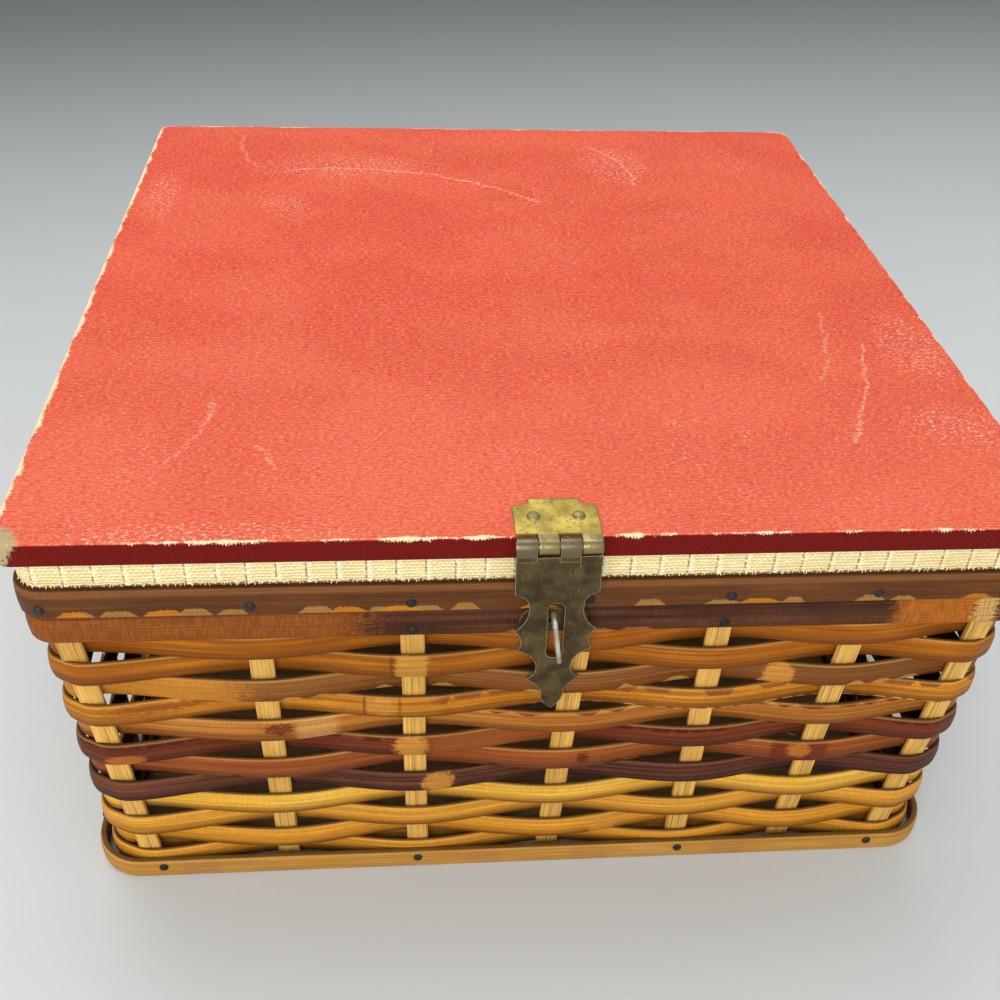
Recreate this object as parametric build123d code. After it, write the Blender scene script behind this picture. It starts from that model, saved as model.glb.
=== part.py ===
from build123d import *
from math import asin, atan2, copysign, cos, degrees, hypot, pi, radians, sin, tan
import os

# Wicker sewing box: a woven cane basket with a cloth-covered lid, a leaf hinge pair and a hasp.
# Millimetres. X runs to the right, Y to the back, Z up, from the middle of the base on the floor.

# Overall size, over the lid board
box_width = 290.0
box_depth = 305.0
box_height = 144.0

# Lid
board_thickness = 7.6
board_corner_radius = 5.0
cloth_thickness = 0.4
cloth_turn_in = 14.0
lid_overhang = 1.3
lid_band_thickness = 2.2
lid_band_height = 9.8
lid_band_radius = 9.0
lid_frame_thickness = 3.0
fabric_thickness = 0.6
fabric_hem_gap = 0.4
lining_thickness = 0.6
glue_gap = 0.1
lid_seat_gap = 0.3

# Basket wall: the surface through the middle of the stakes, at the rim and at the floor
rim_step = 1.7
rim_side_step = 0.5
rim_band_thickness = 2.2
rim_band_height = 10.5
rim_top = 116.8
rim_band_radius = 8.5
foot_corner_radius = 10.0
taper_side = 4.8
taper_front = 4.1
foot_band_height = 7.5
foot_band_thickness = 2.2
foot_weave_gap = 0.4
base_thickness = 4.0

# Stakes: one at each end of the front and back walls, and the same number along each side
stakes_per_side = 5
stake_width = 7.0
stake_thickness = 1.8
stake_edge_rounding = 0.5
stake_end_gap = 0.6
stake_band_gap = 0.38
# How far each front stake stands to the right of an even spacing, and how far its foot leans right
front_stake_shift = (12.95, 9.87, 12.2, 6.03, 1.45)
front_stake_lean = (2.4, 1.5, -4.2, -0.3, -6.5)
# How far a corner stake stands in from the end of its wall at the rim, and how much more at the foot
corner_stake_inset = 6.9
corner_stake_lean = 6.0

# Weavers
weaver_width = 8.0
weaver_least_gap = 0.7
weaver_low = 1.0
weaver_thickness = 1.6
weaver_clearance = 0.45
weaver_corner_folds = 3

# Domed nails through the bands, over the stakes and near the corners
nail_radius = 1.5
nail_height = 0.8
nail_taper = 30.0
nail_sides = 8
lid_nail_height = 3.4
rim_nail_height = 2.65
foot_nail_height = 4.9
lid_nail_corner_inset = 7.6
foot_nail_corner_inset = 22.8

# Hasp: plate on the lid, pin, hanging flap
hasp_centre_x = 2.2
hasp_width = 23.2
hasp_sheet = 0.9
hasp_pin_radius = 1.3
pin_clearance = 0.05
knuckle_count = 4
knuckle_gap = 0.3
hasp_edge_gap = 0.25
plate_depth = 15.5
plate_back_half = 7.05
plate_notch_half = 9.4
plate_notch_depth = 2.7
plate_notch_rise = 0.6
rivet_half_spacing = 6.15
rivet_from_front = 7.5
rivet_head_radius = 1.9
rivet_head_height = 1.1
rivet_sides = 16
flap_band_gap = 2.4
flap_skew = 2.0
flap_slot_above = 9.7
flap_slot_below = 13.3
flap_slot_width = 4.7

# Turning staple in the front of the rim
staple_x = 3.0
staple_below_rim = 4.6
staple_tilt = 8.0
staple_plate_width = 19.2
staple_plate_height = 8.8
staple_plate_thickness = 0.8
staple_bore_radius = 1.5
staple_bore_sides = 12
wire_radius = 0.68
wire_leg_offset = 0.72
eye_height = 17.2
eye_reach = 7.0
eye_shoulder = 1.2
eye_flap_gap = 0.45
leg_length = 4.0
leg_gap = 0.3
eye_bends = (0.75, 0.75, 1.6, 1.6, 3.0, 3.0, 1.6, 1.6, 0.75, 0.75)
wire_sides = 6

# Back hinges
hinge_width = 25.0
hinge_sheet = 0.8
hinge_pin_radius = 1.0
hinge_band_gap = 0.3
hinge_leaf_height = 7.4
hinge_knuckle_share = 0.34


# Sizes worked out from those above
lid_bottom = rim_top + lid_seat_gap
board_bottom = box_height - board_thickness
lid_band_half_x = box_width / 2 - lid_overhang
lid_band_half_y = box_depth / 2 - lid_overhang
rim_half_x = lid_band_half_x - rim_side_step
rim_half_y = lid_band_half_y - rim_step
wall_depth = rim_band_thickness + stake_band_gap + stake_thickness / 2
rim_wall_half_x = rim_half_x - wall_depth
rim_wall_half_y = rim_half_y - wall_depth
rim_wall_radius = rim_band_radius - wall_depth
rim_bottom = rim_top - rim_band_height
rim_middle = rim_top - rim_band_height / 2
weaver_rows = int((rim_bottom - weaver_low) / (weaver_width + weaver_least_gap))
row_pitch = (rim_bottom - weaver_low) / weaver_rows
weave_travel = stake_thickness / 2 + weaver_clearance + weaver_thickness / 2
stake_spacing = 2 * rim_wall_half_x / (stakes_per_side + 1)
weave_crest = weave_travel + weave_travel * stake_width / stake_spacing
hinge_half_spacing = 1.5 * stake_spacing

os.makedirs("parts", exist_ok=True)


def write(name, shape):
    """Writes one sub-part to its own file."""
    export_step(shape, f"parts/{name}.step")


def rounded_block(half_x, half_y, radius, low, high):
    """Upright block with rounded plan corners, from height low to height high."""
    outline = Rectangle(2 * half_x, 2 * half_y)
    if radius > 0:
        outline = RectangleRounded(2 * half_x, 2 * half_y, radius)
    return extrude(Pos(0, 0, low) * outline, high - low)


def band(half_x, half_y, radius, thickness, low, high):
    """Bent strip that runs right round, given by its outer face."""
    inner_radius = max(radius - thickness, 0)
    outer = rounded_block(half_x, half_y, radius, low, high)
    return outer - rounded_block(half_x - thickness, half_y - thickness, inner_radius, low - 1, high + 1)


def wall_at(z):
    """Half width, half depth and corner radius of the stakes' middle surface at height z."""
    down = (rim_middle - z) / rim_middle
    half_x = rim_wall_half_x - taper_side * down
    half_y = rim_wall_half_y - taper_front * down
    return half_x, half_y, rim_wall_radius + (foot_corner_radius - rim_wall_radius) * down


def even_places(half_length):
    """Places of the stakes along one side, between the corner stakes."""
    step = 2 * half_length / (stakes_per_side + 1)
    return [step * (i + 1) - half_length for i in range(stakes_per_side)]


def front_places(z):
    """Places along X of the front stakes at height z, which lean as they stand in the wall."""
    down = (rim_middle - z) / rim_middle
    even = even_places(rim_wall_half_x)
    return [x + shift + lean * down for x, shift, lean in zip(even, front_stake_shift, front_stake_lean)]


def side_of_wall(side, z):
    """Points and outward normals of one side's stakes at height z: 0 front, 1 right, 2 back, 3 left."""
    half_x, half_y, _ = wall_at(z)
    if side == 0:
        return [((x, -half_y), (0, -1)) for x in front_places(z)]
    if side == 1:
        return [((half_x, y), (1, 0)) for y in even_places(rim_wall_half_y)]
    if side == 2:
        return [((-x, half_y), (0, 1)) for x in even_places(rim_wall_half_x)]
    return [((-half_x, -y), (-1, 0)) for y in even_places(rim_wall_half_y)]


def corner_signs(corner):
    """Signs of X and Y at one plan corner: 0 front left, then anticlockwise."""
    return ((-1, -1), (1, -1), (1, 1), (-1, 1))[corner]


def corner_of_wall(corner, z):
    """Centre and radius of one plan corner at height z."""
    half_x, half_y, radius = wall_at(z)
    sign_x, sign_y = corner_signs(corner)
    return (sign_x * (half_x - radius), sign_y * (half_y - radius)), radius


def corner_place(corner, z):
    """A corner stake's point and outward normal at height z, near the end of the front or back wall."""
    half_x, half_y, _ = wall_at(z)
    sign_x, sign_y = corner_signs(corner)
    inset = corner_stake_inset + corner_stake_lean * (rim_middle - z) / rim_middle
    return (sign_x * (half_x - inset), sign_y * half_y), (0, sign_y)


def stake_feet(z):
    """Every stake's point and outward normal at height z, anticlockwise from the front left corner."""
    feet = []
    for side in range(4):
        feet.append(corner_place(side, z))
        feet += side_of_wall(side, z)
    return feet


def stake(low_foot, high_foot, low, high):
    """Split cane upright: flat inside, with rounded long edges outside."""
    (x, y), (nx, ny) = low_foot
    half, back, front = stake_width / 2, -stake_thickness / 2, stake_thickness / 2
    cut = stake_edge_rounding
    section = [
        (-half, back),
        (half, back),
        (half, front - cut),
        (half - 2 * cut, front),
        (-half + 2 * cut, front),
        (-half, front - cut),
    ]
    points = [(x - ny * u + nx * v, y + nx * u + ny * v, low) for u, v in section]
    face = Face(Wire.make_polygon(points, close=True))
    rise = Vector(high_foot[0][0] - x, high_foot[0][1] - y, high - low)
    return extrude(face, amount=rise.length, dir=rise.normalized())


def tangent_angle(point, centre, radius, leaving):
    """Direction of travel along the line through point that keeps the circle on its left."""
    to_x, to_y = centre[0] - point[0], centre[1] - point[1]
    spread = asin(radius / hypot(to_x, to_y))
    if leaving:
        return atan2(to_y, to_x) + spread - pi
    return atan2(to_y, to_x) - spread


def corner_folds(centre, radius, arriving, leaving):
    """Even folds round a circle, between two directions of travel with the circle on the left."""
    step = ((leaving - arriving) % (2 * pi)) / weaver_corner_folds
    headings = [arriving + (i + 0.5) * step for i in range(weaver_corner_folds)]
    return [(centre[0] + radius * sin(h), centre[1] - radius * cos(h)) for h in headings]


def folded_loop(points, sideways):
    """Closed outline through fold points, moved outwards by sideways."""
    count = len(points)
    headings = []
    for i in range(count):
        (x0, y0), (x1, y1) = points[i], points[(i + 1) % count]
        headings.append(atan2(y1 - y0, x1 - x0))
    outline = []
    for i, (x, y) in enumerate(points):
        half = ((headings[i] - headings[i - 1] + pi) % (2 * pi) - pi) / 2
        mean = headings[i - 1] + half
        reach = sideways / cos(half)
        outline.append((x + reach * sin(mean), y - reach * cos(mean)))
    return Wire.make_polygon(outline, close=True)


def weaver_folds(row):
    """Fold points of one weaver's middle line, over and under stakes in turn.

    At a corner it also bends round the end of the wall, before or after the corner stake.
    """
    z = row_height(row)
    sides = [side_of_wall(side, z) for side in range(4)]
    folds = []
    for side in range(4):
        first = side * (stakes_per_side + 1)
        crest = weave_side(first, row) * weave_crest
        centre, radius = corner_of_wall(side, z)
        post = moved(corner_place(side, z), crest)
        if side % 2 == 0:
            before, after = moved(sides[side - 1][-1], -crest), post
        else:
            before, after = post, moved(sides[side][0], -crest)
        arriving = tangent_angle(before, centre, radius + crest, False)
        leaving = tangent_angle(after, centre, radius + crest, True)
        bend = corner_folds(centre, radius + crest, arriving, leaving)
        folds += bend + [post] if side % 2 == 0 else [post] + bend
        for i, foot in enumerate(sides[side]):
            folds.append(moved(foot, weave_side(first + 1 + i, row) * weave_crest))
    return folds


def moved(foot, distance):
    """A stake's point moved outwards along its normal."""
    (x, y), (nx, ny) = foot
    return x + nx * distance, y + ny * distance


def weave_side(stake_index, row):
    """1 where the row passes outside the stake, -1 where it passes inside."""
    return 1 if (stake_index + row) % 2 == 0 else -1


def row_height(row):
    """Height of a row's middle, with row 1 under the rim."""
    return rim_bottom - (row - 0.5) * row_pitch


def weaver(row):
    """One flat weaver, bent in and out round every stake."""
    folds = weaver_folds(row)
    outside = folded_loop(folds, weaver_thickness / 2)
    inside = folded_loop(folds, -weaver_thickness / 2)
    low = row_height(row) - weaver_width / 2
    return extrude(Pos(0, 0, low) * Face(outside, [inside]), weaver_width)


def tube(radius, bore, x0, x1, y, z):
    """Knuckle: a tube along X."""
    ring = Circle(radius) - Circle(bore)
    return Pos(x0, y, z) * extrude(Plane.YZ * ring, x1 - x0)


def rod(radius, x0, x1, y, z):
    """Pin: a rod along X."""
    return Pos(x0, y, z) * extrude(Plane.YZ * Circle(radius), x1 - x0)


def knuckle_spans(width, count, first):
    """Left and right ends of every second knuckle, shortened for the running gap."""
    step = width / count
    spans = []
    for i in range(first, count, 2):
        spans.append((i * step - width / 2 + knuckle_gap / 2, (i + 1) * step - width / 2 - knuckle_gap / 2))
    return spans


def rivet_head(radius, height):
    """Low tapered rivet head, with its flat underside on the XY plane."""
    taper = degrees(atan2(radius / 2, height))
    return extrude(RegularPolygon(radius, rivet_sides), height, taper=taper)


def nail_heads(half_x, half_y, radius, z, picked, ends):
    """Nail heads round the outer face of a band, facing outwards at height z.

    On each side they stand over the picked stakes, and at the given distances in from its ends.
    """
    head = extrude(RegularPolygon(nail_radius, nail_sides), nail_height, taper=nail_taper)
    heads = []
    for side in range(4):
        across, out = (half_x, half_y) if side % 2 == 0 else (half_y, half_x)
        wall_half = rim_wall_half_x if side % 2 == 0 else rim_wall_half_y
        stakes_along = front_places(z) if side == 0 else even_places(wall_half)
        for along in [stakes_along[i] for i in picked] + [end * across + inset for end, inset in ends]:
            straight = across - radius
            lean = copysign(max(abs(along) - straight, 0) / radius, along)
            x = max(min(along, straight), -straight) + radius * sin(lean)
            y = radius - out - radius * cos(lean)
            spot = Rot(0, 0, 90 * side) * Pos(x, y, z) * Rot(0, 0, degrees(lean)) * Rot(90, 0, 0)
            heads.append(spot * head)
    return Compound(children=heads)


def rounded_line(points, radii):
    """Points of an open line with each inner corner eased by three short straights round its radius."""
    eased = [points[0]]
    for i, radius in enumerate(radii):
        before, corner, after = (Vector(*points[i + k]) for k in range(3))
        inward = (corner - before).normalized()
        outward = (after - corner).normalized()
        turn = radians(inward.get_angle(outward))
        whole, part = radius * tan(turn / 2), radius * tan(turn / 6)
        start, end = corner - inward * whole, corner + outward * whole
        eased.append(tuple(start + inward * part))
        eased.append(tuple(end - outward * part))
    eased.append(points[-1])
    return eased


# Basket

# The foot bands stand clear of the lowest weaver, which runs down between them
wall_foot_x, wall_foot_y, wall_foot_radius = wall_at(foot_band_height / 2)
foot_clear = weave_crest + weaver_thickness / 2 + foot_weave_gap
foot_half_x = wall_foot_x + foot_clear + foot_band_thickness
foot_half_y = wall_foot_y + foot_clear + foot_band_thickness
foot_radius = wall_foot_radius + foot_clear + foot_band_thickness
inner_step = 2 * foot_clear + foot_band_thickness
base_step = inner_step + foot_band_thickness + glue_gap

write(
    "base_board",
    rounded_block(
        foot_half_x - base_step,
        foot_half_y - base_step,
        foot_radius - base_step,
        0,
        base_thickness,
    ),
)
write(
    "foot_band_outer",
    band(foot_half_x, foot_half_y, foot_radius, foot_band_thickness, 0, foot_band_height),
)
write(
    "foot_band_inner",
    band(
        foot_half_x - inner_step,
        foot_half_y - inner_step,
        foot_radius - inner_step,
        foot_band_thickness,
        0,
        foot_band_height,
    ),
)

stake_low = stake_end_gap
stake_high = rim_top - stake_end_gap
low_feet = stake_feet(stake_low)
high_feet = stake_feet(stake_high)
stakes = [stake(low, high, stake_low, stake_high) for low, high in zip(low_feet, high_feet)]
side_names = ("front", "right", "back", "left")
for side in range(4):
    first = side * (stakes_per_side + 1)
    group = stakes[first : first + stakes_per_side + 1]
    write(f"stakes_{side_names[side]}", Compound(children=group))

for row in range(1, weaver_rows + 1):
    write(f"weaver_row_{row:02d}", weaver(row))

# The staple's shank passes through both rim bands
staple_z = rim_top - staple_below_rim
rim_inner_step = stake_thickness + 2 * stake_band_gap + rim_band_thickness
rim_inner_face = -rim_half_y + rim_inner_step + rim_band_thickness
along_staple = Pos(staple_x, 0, staple_z) * Rot(90, 0, 0)
bore_shape = RegularPolygon(staple_bore_radius, staple_bore_sides)
staple_hole = along_staple * Pos(0, 0, rim_half_y) * extrude(bore_shape, 3 * wall_depth, both=True)

rim_outer = band(rim_half_x, rim_half_y, rim_band_radius, rim_band_thickness, rim_bottom, rim_top)
rim_inner = band(
    rim_half_x - rim_inner_step,
    rim_half_y - rim_inner_step,
    rim_band_radius - rim_inner_step,
    rim_band_thickness,
    rim_bottom,
    rim_top,
)
write("rim_band_outer", rim_outer - staple_hole)
write("rim_band_inner", rim_inner - staple_hole)

foot_nails_z = foot_nail_height
foot_ends = ((-1, foot_nail_corner_inset), (1, -foot_nail_corner_inset))
write("foot_nails", nail_heads(foot_half_x, foot_half_y, foot_radius, foot_nails_z, (1, 3), foot_ends))
rim_nails_z = rim_bottom + rim_nail_height
write("rim_nails", nail_heads(rim_half_x, rim_half_y, rim_band_radius, rim_nails_z, (1, 3), ()))

# Lid

board_half_x = box_width / 2 - cloth_thickness
board_half_y = box_depth / 2 - cloth_thickness
board_low = board_bottom + cloth_thickness
board_high = box_height - cloth_thickness
board_radius = board_corner_radius - cloth_thickness
board = rounded_block(board_half_x, board_half_y, board_radius, board_low, board_high)

cloth = rounded_block(box_width / 2, box_depth / 2, board_corner_radius, board_bottom, box_height)
cloth -= board
cloth -= rounded_block(
    box_width / 2 - cloth_turn_in,
    box_depth / 2 - cloth_turn_in,
    0,
    board_bottom - 1,
    board_low,
)

write("lid_board", board)
write("lid_cloth", cloth)

frame_step = lid_band_thickness + glue_gap
frame_radius = lid_band_radius - frame_step
write(
    "lid_frame",
    band(
        lid_band_half_x - frame_step,
        lid_band_half_y - frame_step,
        frame_radius,
        lid_frame_thickness,
        lid_bottom,
        board_bottom,
    ),
)
write(
    "lid_band",
    band(
        lid_band_half_x,
        lid_band_half_y,
        lid_band_radius,
        lid_band_thickness,
        lid_bottom,
        lid_bottom + lid_band_height,
    ),
)
lid_nails_z = lid_bottom + lid_nail_height
lid_ends = ((-1, lid_nail_corner_inset),)
lid_nails = nail_heads(lid_band_half_x, lid_band_half_y, lid_band_radius, lid_nails_z, range(5), lid_ends)
write("lid_band_nails", lid_nails)
fabric_step = frame_step - glue_gap - fabric_thickness
write(
    "lid_fabric_band",
    band(
        lid_band_half_x - fabric_step,
        lid_band_half_y - fabric_step,
        lid_band_radius - fabric_step,
        fabric_thickness,
        lid_bottom + lid_band_height + fabric_hem_gap,
        board_bottom - glue_gap,
    ),
)
lining_step = frame_step + lid_frame_thickness + glue_gap
write(
    "lid_lining",
    rounded_block(
        lid_band_half_x - lining_step,
        lid_band_half_y - lining_step,
        lid_band_radius - lining_step,
        board_bottom - lining_thickness,
        board_bottom,
    ),
)

# Hasp plate, rivets and pin

hasp_front_y = -box_depth / 2
barrel_bore = hasp_pin_radius + pin_clearance
barrel_radius = barrel_bore + hasp_sheet
barrel_y = hasp_front_y - hasp_edge_gap - barrel_radius
barrel_z = box_height + hasp_sheet - barrel_radius
half_hasp = hasp_width / 2
plate_front_y = barrel_y + barrel_radius + knuckle_gap
plate_back_y = hasp_front_y + plate_depth
notch_y = plate_back_y - plate_notch_depth
side_y = notch_y - plate_notch_rise


def plate_outline():
    """Hasp plate seen from above: square front, back corners cut to a hollow curve and a point."""
    hollow = (plate_back_half + 0.35, notch_y + 0.75)
    right = [
        Edge.make_line((half_hasp, plate_front_y), (half_hasp, side_y)),
        Edge.make_line((half_hasp, side_y), (plate_notch_half, notch_y)),
        Edge.make_three_point_arc((plate_notch_half, notch_y), hollow, (plate_back_half, plate_back_y)),
    ]
    left = [edge.mirror(Plane.YZ) for edge in right]
    front = Edge.make_line((-half_hasp, plate_front_y), (half_hasp, plate_front_y))
    back = Edge.make_line((-plate_back_half, plate_back_y), (plate_back_half, plate_back_y))
    return Face(Wire([front, back] + right + left))


plate = extrude(Pos(0, 0, box_height) * plate_outline(), hasp_sheet)
for x0, x1 in knuckle_spans(hasp_width, knuckle_count, 1):
    tongue_depth = plate_front_y - barrel_y
    middle = (x0 + x1) / 2
    tongue = Pos(middle, barrel_y + tongue_depth / 2, box_height + hasp_sheet / 2)
    plate += tongue * Box(x1 - x0, tongue_depth, hasp_sheet)
    plate += tube(barrel_radius, barrel_bore, x0, x1, barrel_y, barrel_z)
plate = Pos(hasp_centre_x, 0, 0) * plate
write("hasp_plate", plate)

rivet_y = hasp_front_y + rivet_from_front
rivet_xs = [hasp_centre_x + side * rivet_half_spacing for side in (-1, 1)]
hasp_rivet = rivet_head(rivet_head_radius, rivet_head_height)
write(
    "hasp_rivets",
    Compound(children=[Pos(x, rivet_y, box_height + hasp_sheet) * hasp_rivet for x in rivet_xs]),
)
pin_left = hasp_centre_x - half_hasp
write("hasp_pin", rod(hasp_pin_radius, pin_left, pin_left + hasp_width, barrel_y, barrel_z))

# The flap's sheet leans in from its front knuckles until it hangs clear of the lid band
sheet_back = barrel_radius - hasp_sheet
band_gap_y = -barrel_y - lid_band_half_y - flap_band_gap
band_gap_z = barrel_z - lid_bottom
flap_lean = degrees(asin(sheet_back / hypot(band_gap_y, band_gap_z)) + atan2(band_gap_y, band_gap_z))
flap_drop = barrel_z - staple_z
flap_run = flap_drop / cos(radians(flap_lean))

# Hasp flap, drawn hanging: across from its middle, and down from the staple
flap_side_end = (half_hasp, -13.7)
flap_waist = (7.65, -8.5)
flap_upper_point = (11.5, 1.3)
flap_notch = (9.65, 5.7)
flap_lower_point = (10.65, 9.7)
flap_neck = (5.1, 16.3)
flap_wing = (7.8, 22.5)
flap_shoulder = (3.3, 28.1)
flap_tip = (0, 36.5)
flap_sheet_top = barrel_radius + knuckle_gap + half_hasp * tan(radians(flap_skew))


def flap_outline():
    """Hasp flap face on, with its hollow waist, four points a side and rounded tip."""
    arcs = (
        (flap_side_end, (8.7, -12.0), flap_waist),
        (flap_waist, (8.4, -2.9), flap_upper_point),
        (flap_upper_point, flap_notch, flap_lower_point),
        (flap_lower_point, (6.8, 12.3), flap_neck),
        (flap_neck, (5.7, 20.3), flap_wing),
        (flap_wing, (5.3, 24.9), flap_shoulder),
        (flap_shoulder, (2.6, 33.1), flap_tip),
    )
    corner = (half_hasp, flap_sheet_top - flap_run)
    right = [Edge.make_line(*(Vector(u, -v) for u, v in (corner, flap_side_end)))]
    right += [Edge.make_three_point_arc(*(Vector(u, -v) for u, v in arc)) for arc in arcs]
    left = [edge.mirror(Plane.YZ) for edge in right]
    top = Edge.make_line((-corner[0], -corner[1]), (corner[0], -corner[1]))
    slot = Rot(0, 0, 90) * SlotOverall(flap_slot_above + flap_slot_below, flap_slot_width)
    slot = Pos(0, (flap_slot_above - flap_slot_below) / 2) * slot
    return Rot(0, 0, flap_skew) * Pos(0, -flap_run) * (Face(Wire([top] + right + left)) - slot)


flap = Pos(0, -sheet_back, 0) * extrude(Plane.XZ * flap_outline(), hasp_sheet)
for x0, x1 in knuckle_spans(hasp_width, knuckle_count, 0):
    tongue_height = flap_sheet_top + hasp_sheet
    tongue = Pos((x0 + x1) / 2, hasp_sheet / 2 - barrel_radius, -tongue_height / 2)
    flap += tongue * Box(x1 - x0, hasp_sheet, tongue_height)
    flap += tube(barrel_radius, barrel_bore, x0, x1, 0, 0)
flap = Pos(hasp_centre_x, barrel_y, barrel_z) * Rot(flap_lean, 0, 0) * flap
write("hasp_flap", flap)

# Staple plate and turning eye

plate_shape = SlotOverall(staple_plate_width, staple_plate_height) - bore_shape
write("staple_plate", along_staple * Pos(0, 0, rim_half_y) * extrude(plate_shape, staple_plate_thickness))

# The eye's wire, upright behind its own axis: distance out in front of the box's middle, and height
flap_front = -barrel_y + barrel_radius / cos(radians(flap_lean)) - flap_drop * tan(radians(flap_lean))
eye_start = flap_front + eye_flap_gap + wire_radius
eye_end = eye_start + eye_reach - 2 * wire_radius
eye_half = eye_height / 2 - wire_radius
leg_line = -rim_inner_face - leg_gap - wire_radius
eye_points = [
    (leg_line, leg_length),
    (leg_line, wire_leg_offset),
    (eye_start, wire_leg_offset),
    (eye_start + eye_shoulder / 2, eye_half),
    (eye_end - eye_shoulder, eye_half),
    (eye_end, eye_half / 2),
    (eye_end, -eye_half / 2),
    (eye_end - eye_shoulder, -eye_half),
    (eye_start + eye_shoulder / 2, -eye_half),
    (eye_start, -wire_leg_offset),
    (leg_line, -wire_leg_offset),
    (leg_line, -leg_length),
]
eye_line = rounded_line([(0, -out, up) for out, up in eye_points], eye_bends)
wire_section = Plane(origin=eye_line[0], z_dir=(0, 0, -1)) * RegularPolygon(wire_radius, wire_sides)
eye_wire = sweep(wire_section, path=Polyline(*eye_line), transition=Transition.RIGHT)
write("turn_staple", Pos(staple_x, 0, staple_z) * Rot(0, -staple_tilt, 0) * eye_wire)

# Back hinges: the lower leaf carries the outer knuckles, the upper leaf the middle one

hinge_bore = hinge_pin_radius + pin_clearance
hinge_radius = hinge_bore + hinge_sheet
hinge_y = lid_band_half_y + hinge_band_gap + hinge_radius
hinge_z = (rim_top + lid_bottom) / 2
middle_half = hinge_width * hinge_knuckle_share / 2
half_hinge = hinge_width / 2
outer_knuckles = ((-half_hinge, -middle_half - knuckle_gap), (middle_half + knuckle_gap, half_hinge))
leaf_clear = hinge_radius + knuckle_gap


def upright_sheet(half_width, y0, y1, z0, z1):
    """Flat piece of sheet across the middle of a hinge."""
    return Pos(0, (y0 + y1) / 2, (z0 + z1) / 2) * Box(2 * half_width, y1 - y0, z1 - z0)


def upper_leaf():
    """Leaf on the lid band, with the middle knuckle."""
    face = lid_band_half_y
    top = hinge_z + leaf_clear + hinge_leaf_height - hinge_sheet
    leaf = upright_sheet(half_hinge, face, face + hinge_sheet, hinge_z + leaf_clear, top)
    leaf += upright_sheet(middle_half, face, face + hinge_sheet, lid_bottom, hinge_z + leaf_clear)
    leaf += upright_sheet(middle_half, face, hinge_y - hinge_bore, lid_bottom, lid_bottom + hinge_sheet)
    return leaf + tube(hinge_radius, hinge_bore, -middle_half, middle_half, hinge_y, hinge_z)


def lower_leaf():
    """Leaf on the rim band, cranked out to the two outer knuckles."""
    face = rim_half_y
    top = hinge_z - leaf_clear - hinge_sheet
    bottom = rim_bottom + (rim_band_height - hinge_leaf_height) / 2
    leaf = upright_sheet(half_hinge, face, face + hinge_sheet, bottom, top)
    crank = [
        (face, top - hinge_sheet / 2),
        (face + hinge_sheet, top - hinge_sheet),
        (hinge_y, hinge_z - hinge_bore - hinge_sheet / 2),
        (hinge_y - hinge_bore - hinge_sheet / 2, hinge_z - hinge_sheet / 2),
    ]
    for x0, x1 in outer_knuckles:
        profile = Face(Wire.make_polygon([(x0, y, z) for y, z in crank], close=True))
        arm = extrude(profile, amount=x1 - x0, dir=(1, 0, 0))
        arm -= rod(hinge_bore, x0, x1, hinge_y, hinge_z)
        leaf += arm + tube(hinge_radius, hinge_bore, x0, x1, hinge_y, hinge_z)
    return leaf


hinge_places = [Pos(side * hinge_half_spacing, 0, 0) for side in (-1, 1)]
pin = rod(hinge_pin_radius, -half_hinge, half_hinge, hinge_y, hinge_z)
write("hinge_upper_leaves", Compound(children=[place * upper_leaf() for place in hinge_places]))
write("hinge_lower_leaves", Compound(children=[place * lower_leaf() for place in hinge_places]))
write("hinge_pins", Compound(children=[place * pin for place in hinge_places]))
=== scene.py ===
"""Finished look of a wicker sewing box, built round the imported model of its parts.

Sizes are in millimetres and angles in degrees, and MM turns lengths into Blender's metres.
Places along a strip of cane are its run: 0 at the middle of the front, growing to the right.
"""

import logging
from dataclasses import dataclass, field
from enum import Enum
from math import cos, pi, radians, sin, tan

import bmesh
import bpy
import numpy as np
from mathutils import Matrix, Vector

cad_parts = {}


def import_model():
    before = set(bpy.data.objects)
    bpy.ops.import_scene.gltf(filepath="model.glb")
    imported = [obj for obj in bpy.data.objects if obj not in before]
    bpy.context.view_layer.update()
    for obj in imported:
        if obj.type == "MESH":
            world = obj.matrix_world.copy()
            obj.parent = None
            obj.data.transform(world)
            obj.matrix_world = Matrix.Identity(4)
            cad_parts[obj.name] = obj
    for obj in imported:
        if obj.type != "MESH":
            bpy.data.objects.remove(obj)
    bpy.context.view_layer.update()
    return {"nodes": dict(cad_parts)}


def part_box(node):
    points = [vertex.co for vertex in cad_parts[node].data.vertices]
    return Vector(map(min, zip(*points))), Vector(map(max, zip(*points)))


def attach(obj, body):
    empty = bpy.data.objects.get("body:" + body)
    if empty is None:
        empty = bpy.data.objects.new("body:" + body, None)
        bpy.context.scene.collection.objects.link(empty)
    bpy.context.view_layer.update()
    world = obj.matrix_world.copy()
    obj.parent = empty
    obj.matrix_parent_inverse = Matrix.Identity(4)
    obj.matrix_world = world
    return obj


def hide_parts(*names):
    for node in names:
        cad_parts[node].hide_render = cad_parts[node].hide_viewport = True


MM = 0.001
PICTURE_SIDE = 1000
SENSOR_WIDTH = 36.0
STRIP_MAP = "Strip"

TO_MM = (1000.0, 1000.0, 1000.0)
WELD_DISTANCE = 2e-6
ROUND_ANGLE = 60.0
FACE_POINTS = 13
CANE_CORNER = 0.35
RIDGE_SPACING = 2.1
THREAD_SIDES = 5

Tone = tuple[int, int, int]
Pair = tuple[float, float]
Point = tuple[float, float, float]
Faces = list[tuple[int, ...]]
Array = np.ndarray
Tree = bpy.types.NodeTree
Node = bpy.types.Node
Socket = bpy.types.NodeSocket
Material = bpy.types.Material
Piece = bpy.types.Object
Vertex = bmesh.types.BMVert
Numbers = tuple[float, ...]
Given = float | Numbers | Socket
Results = tuple[Given, ...]
Sockets = dict[str, Socket]
Nodes = dict[str, Piece]


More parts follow.
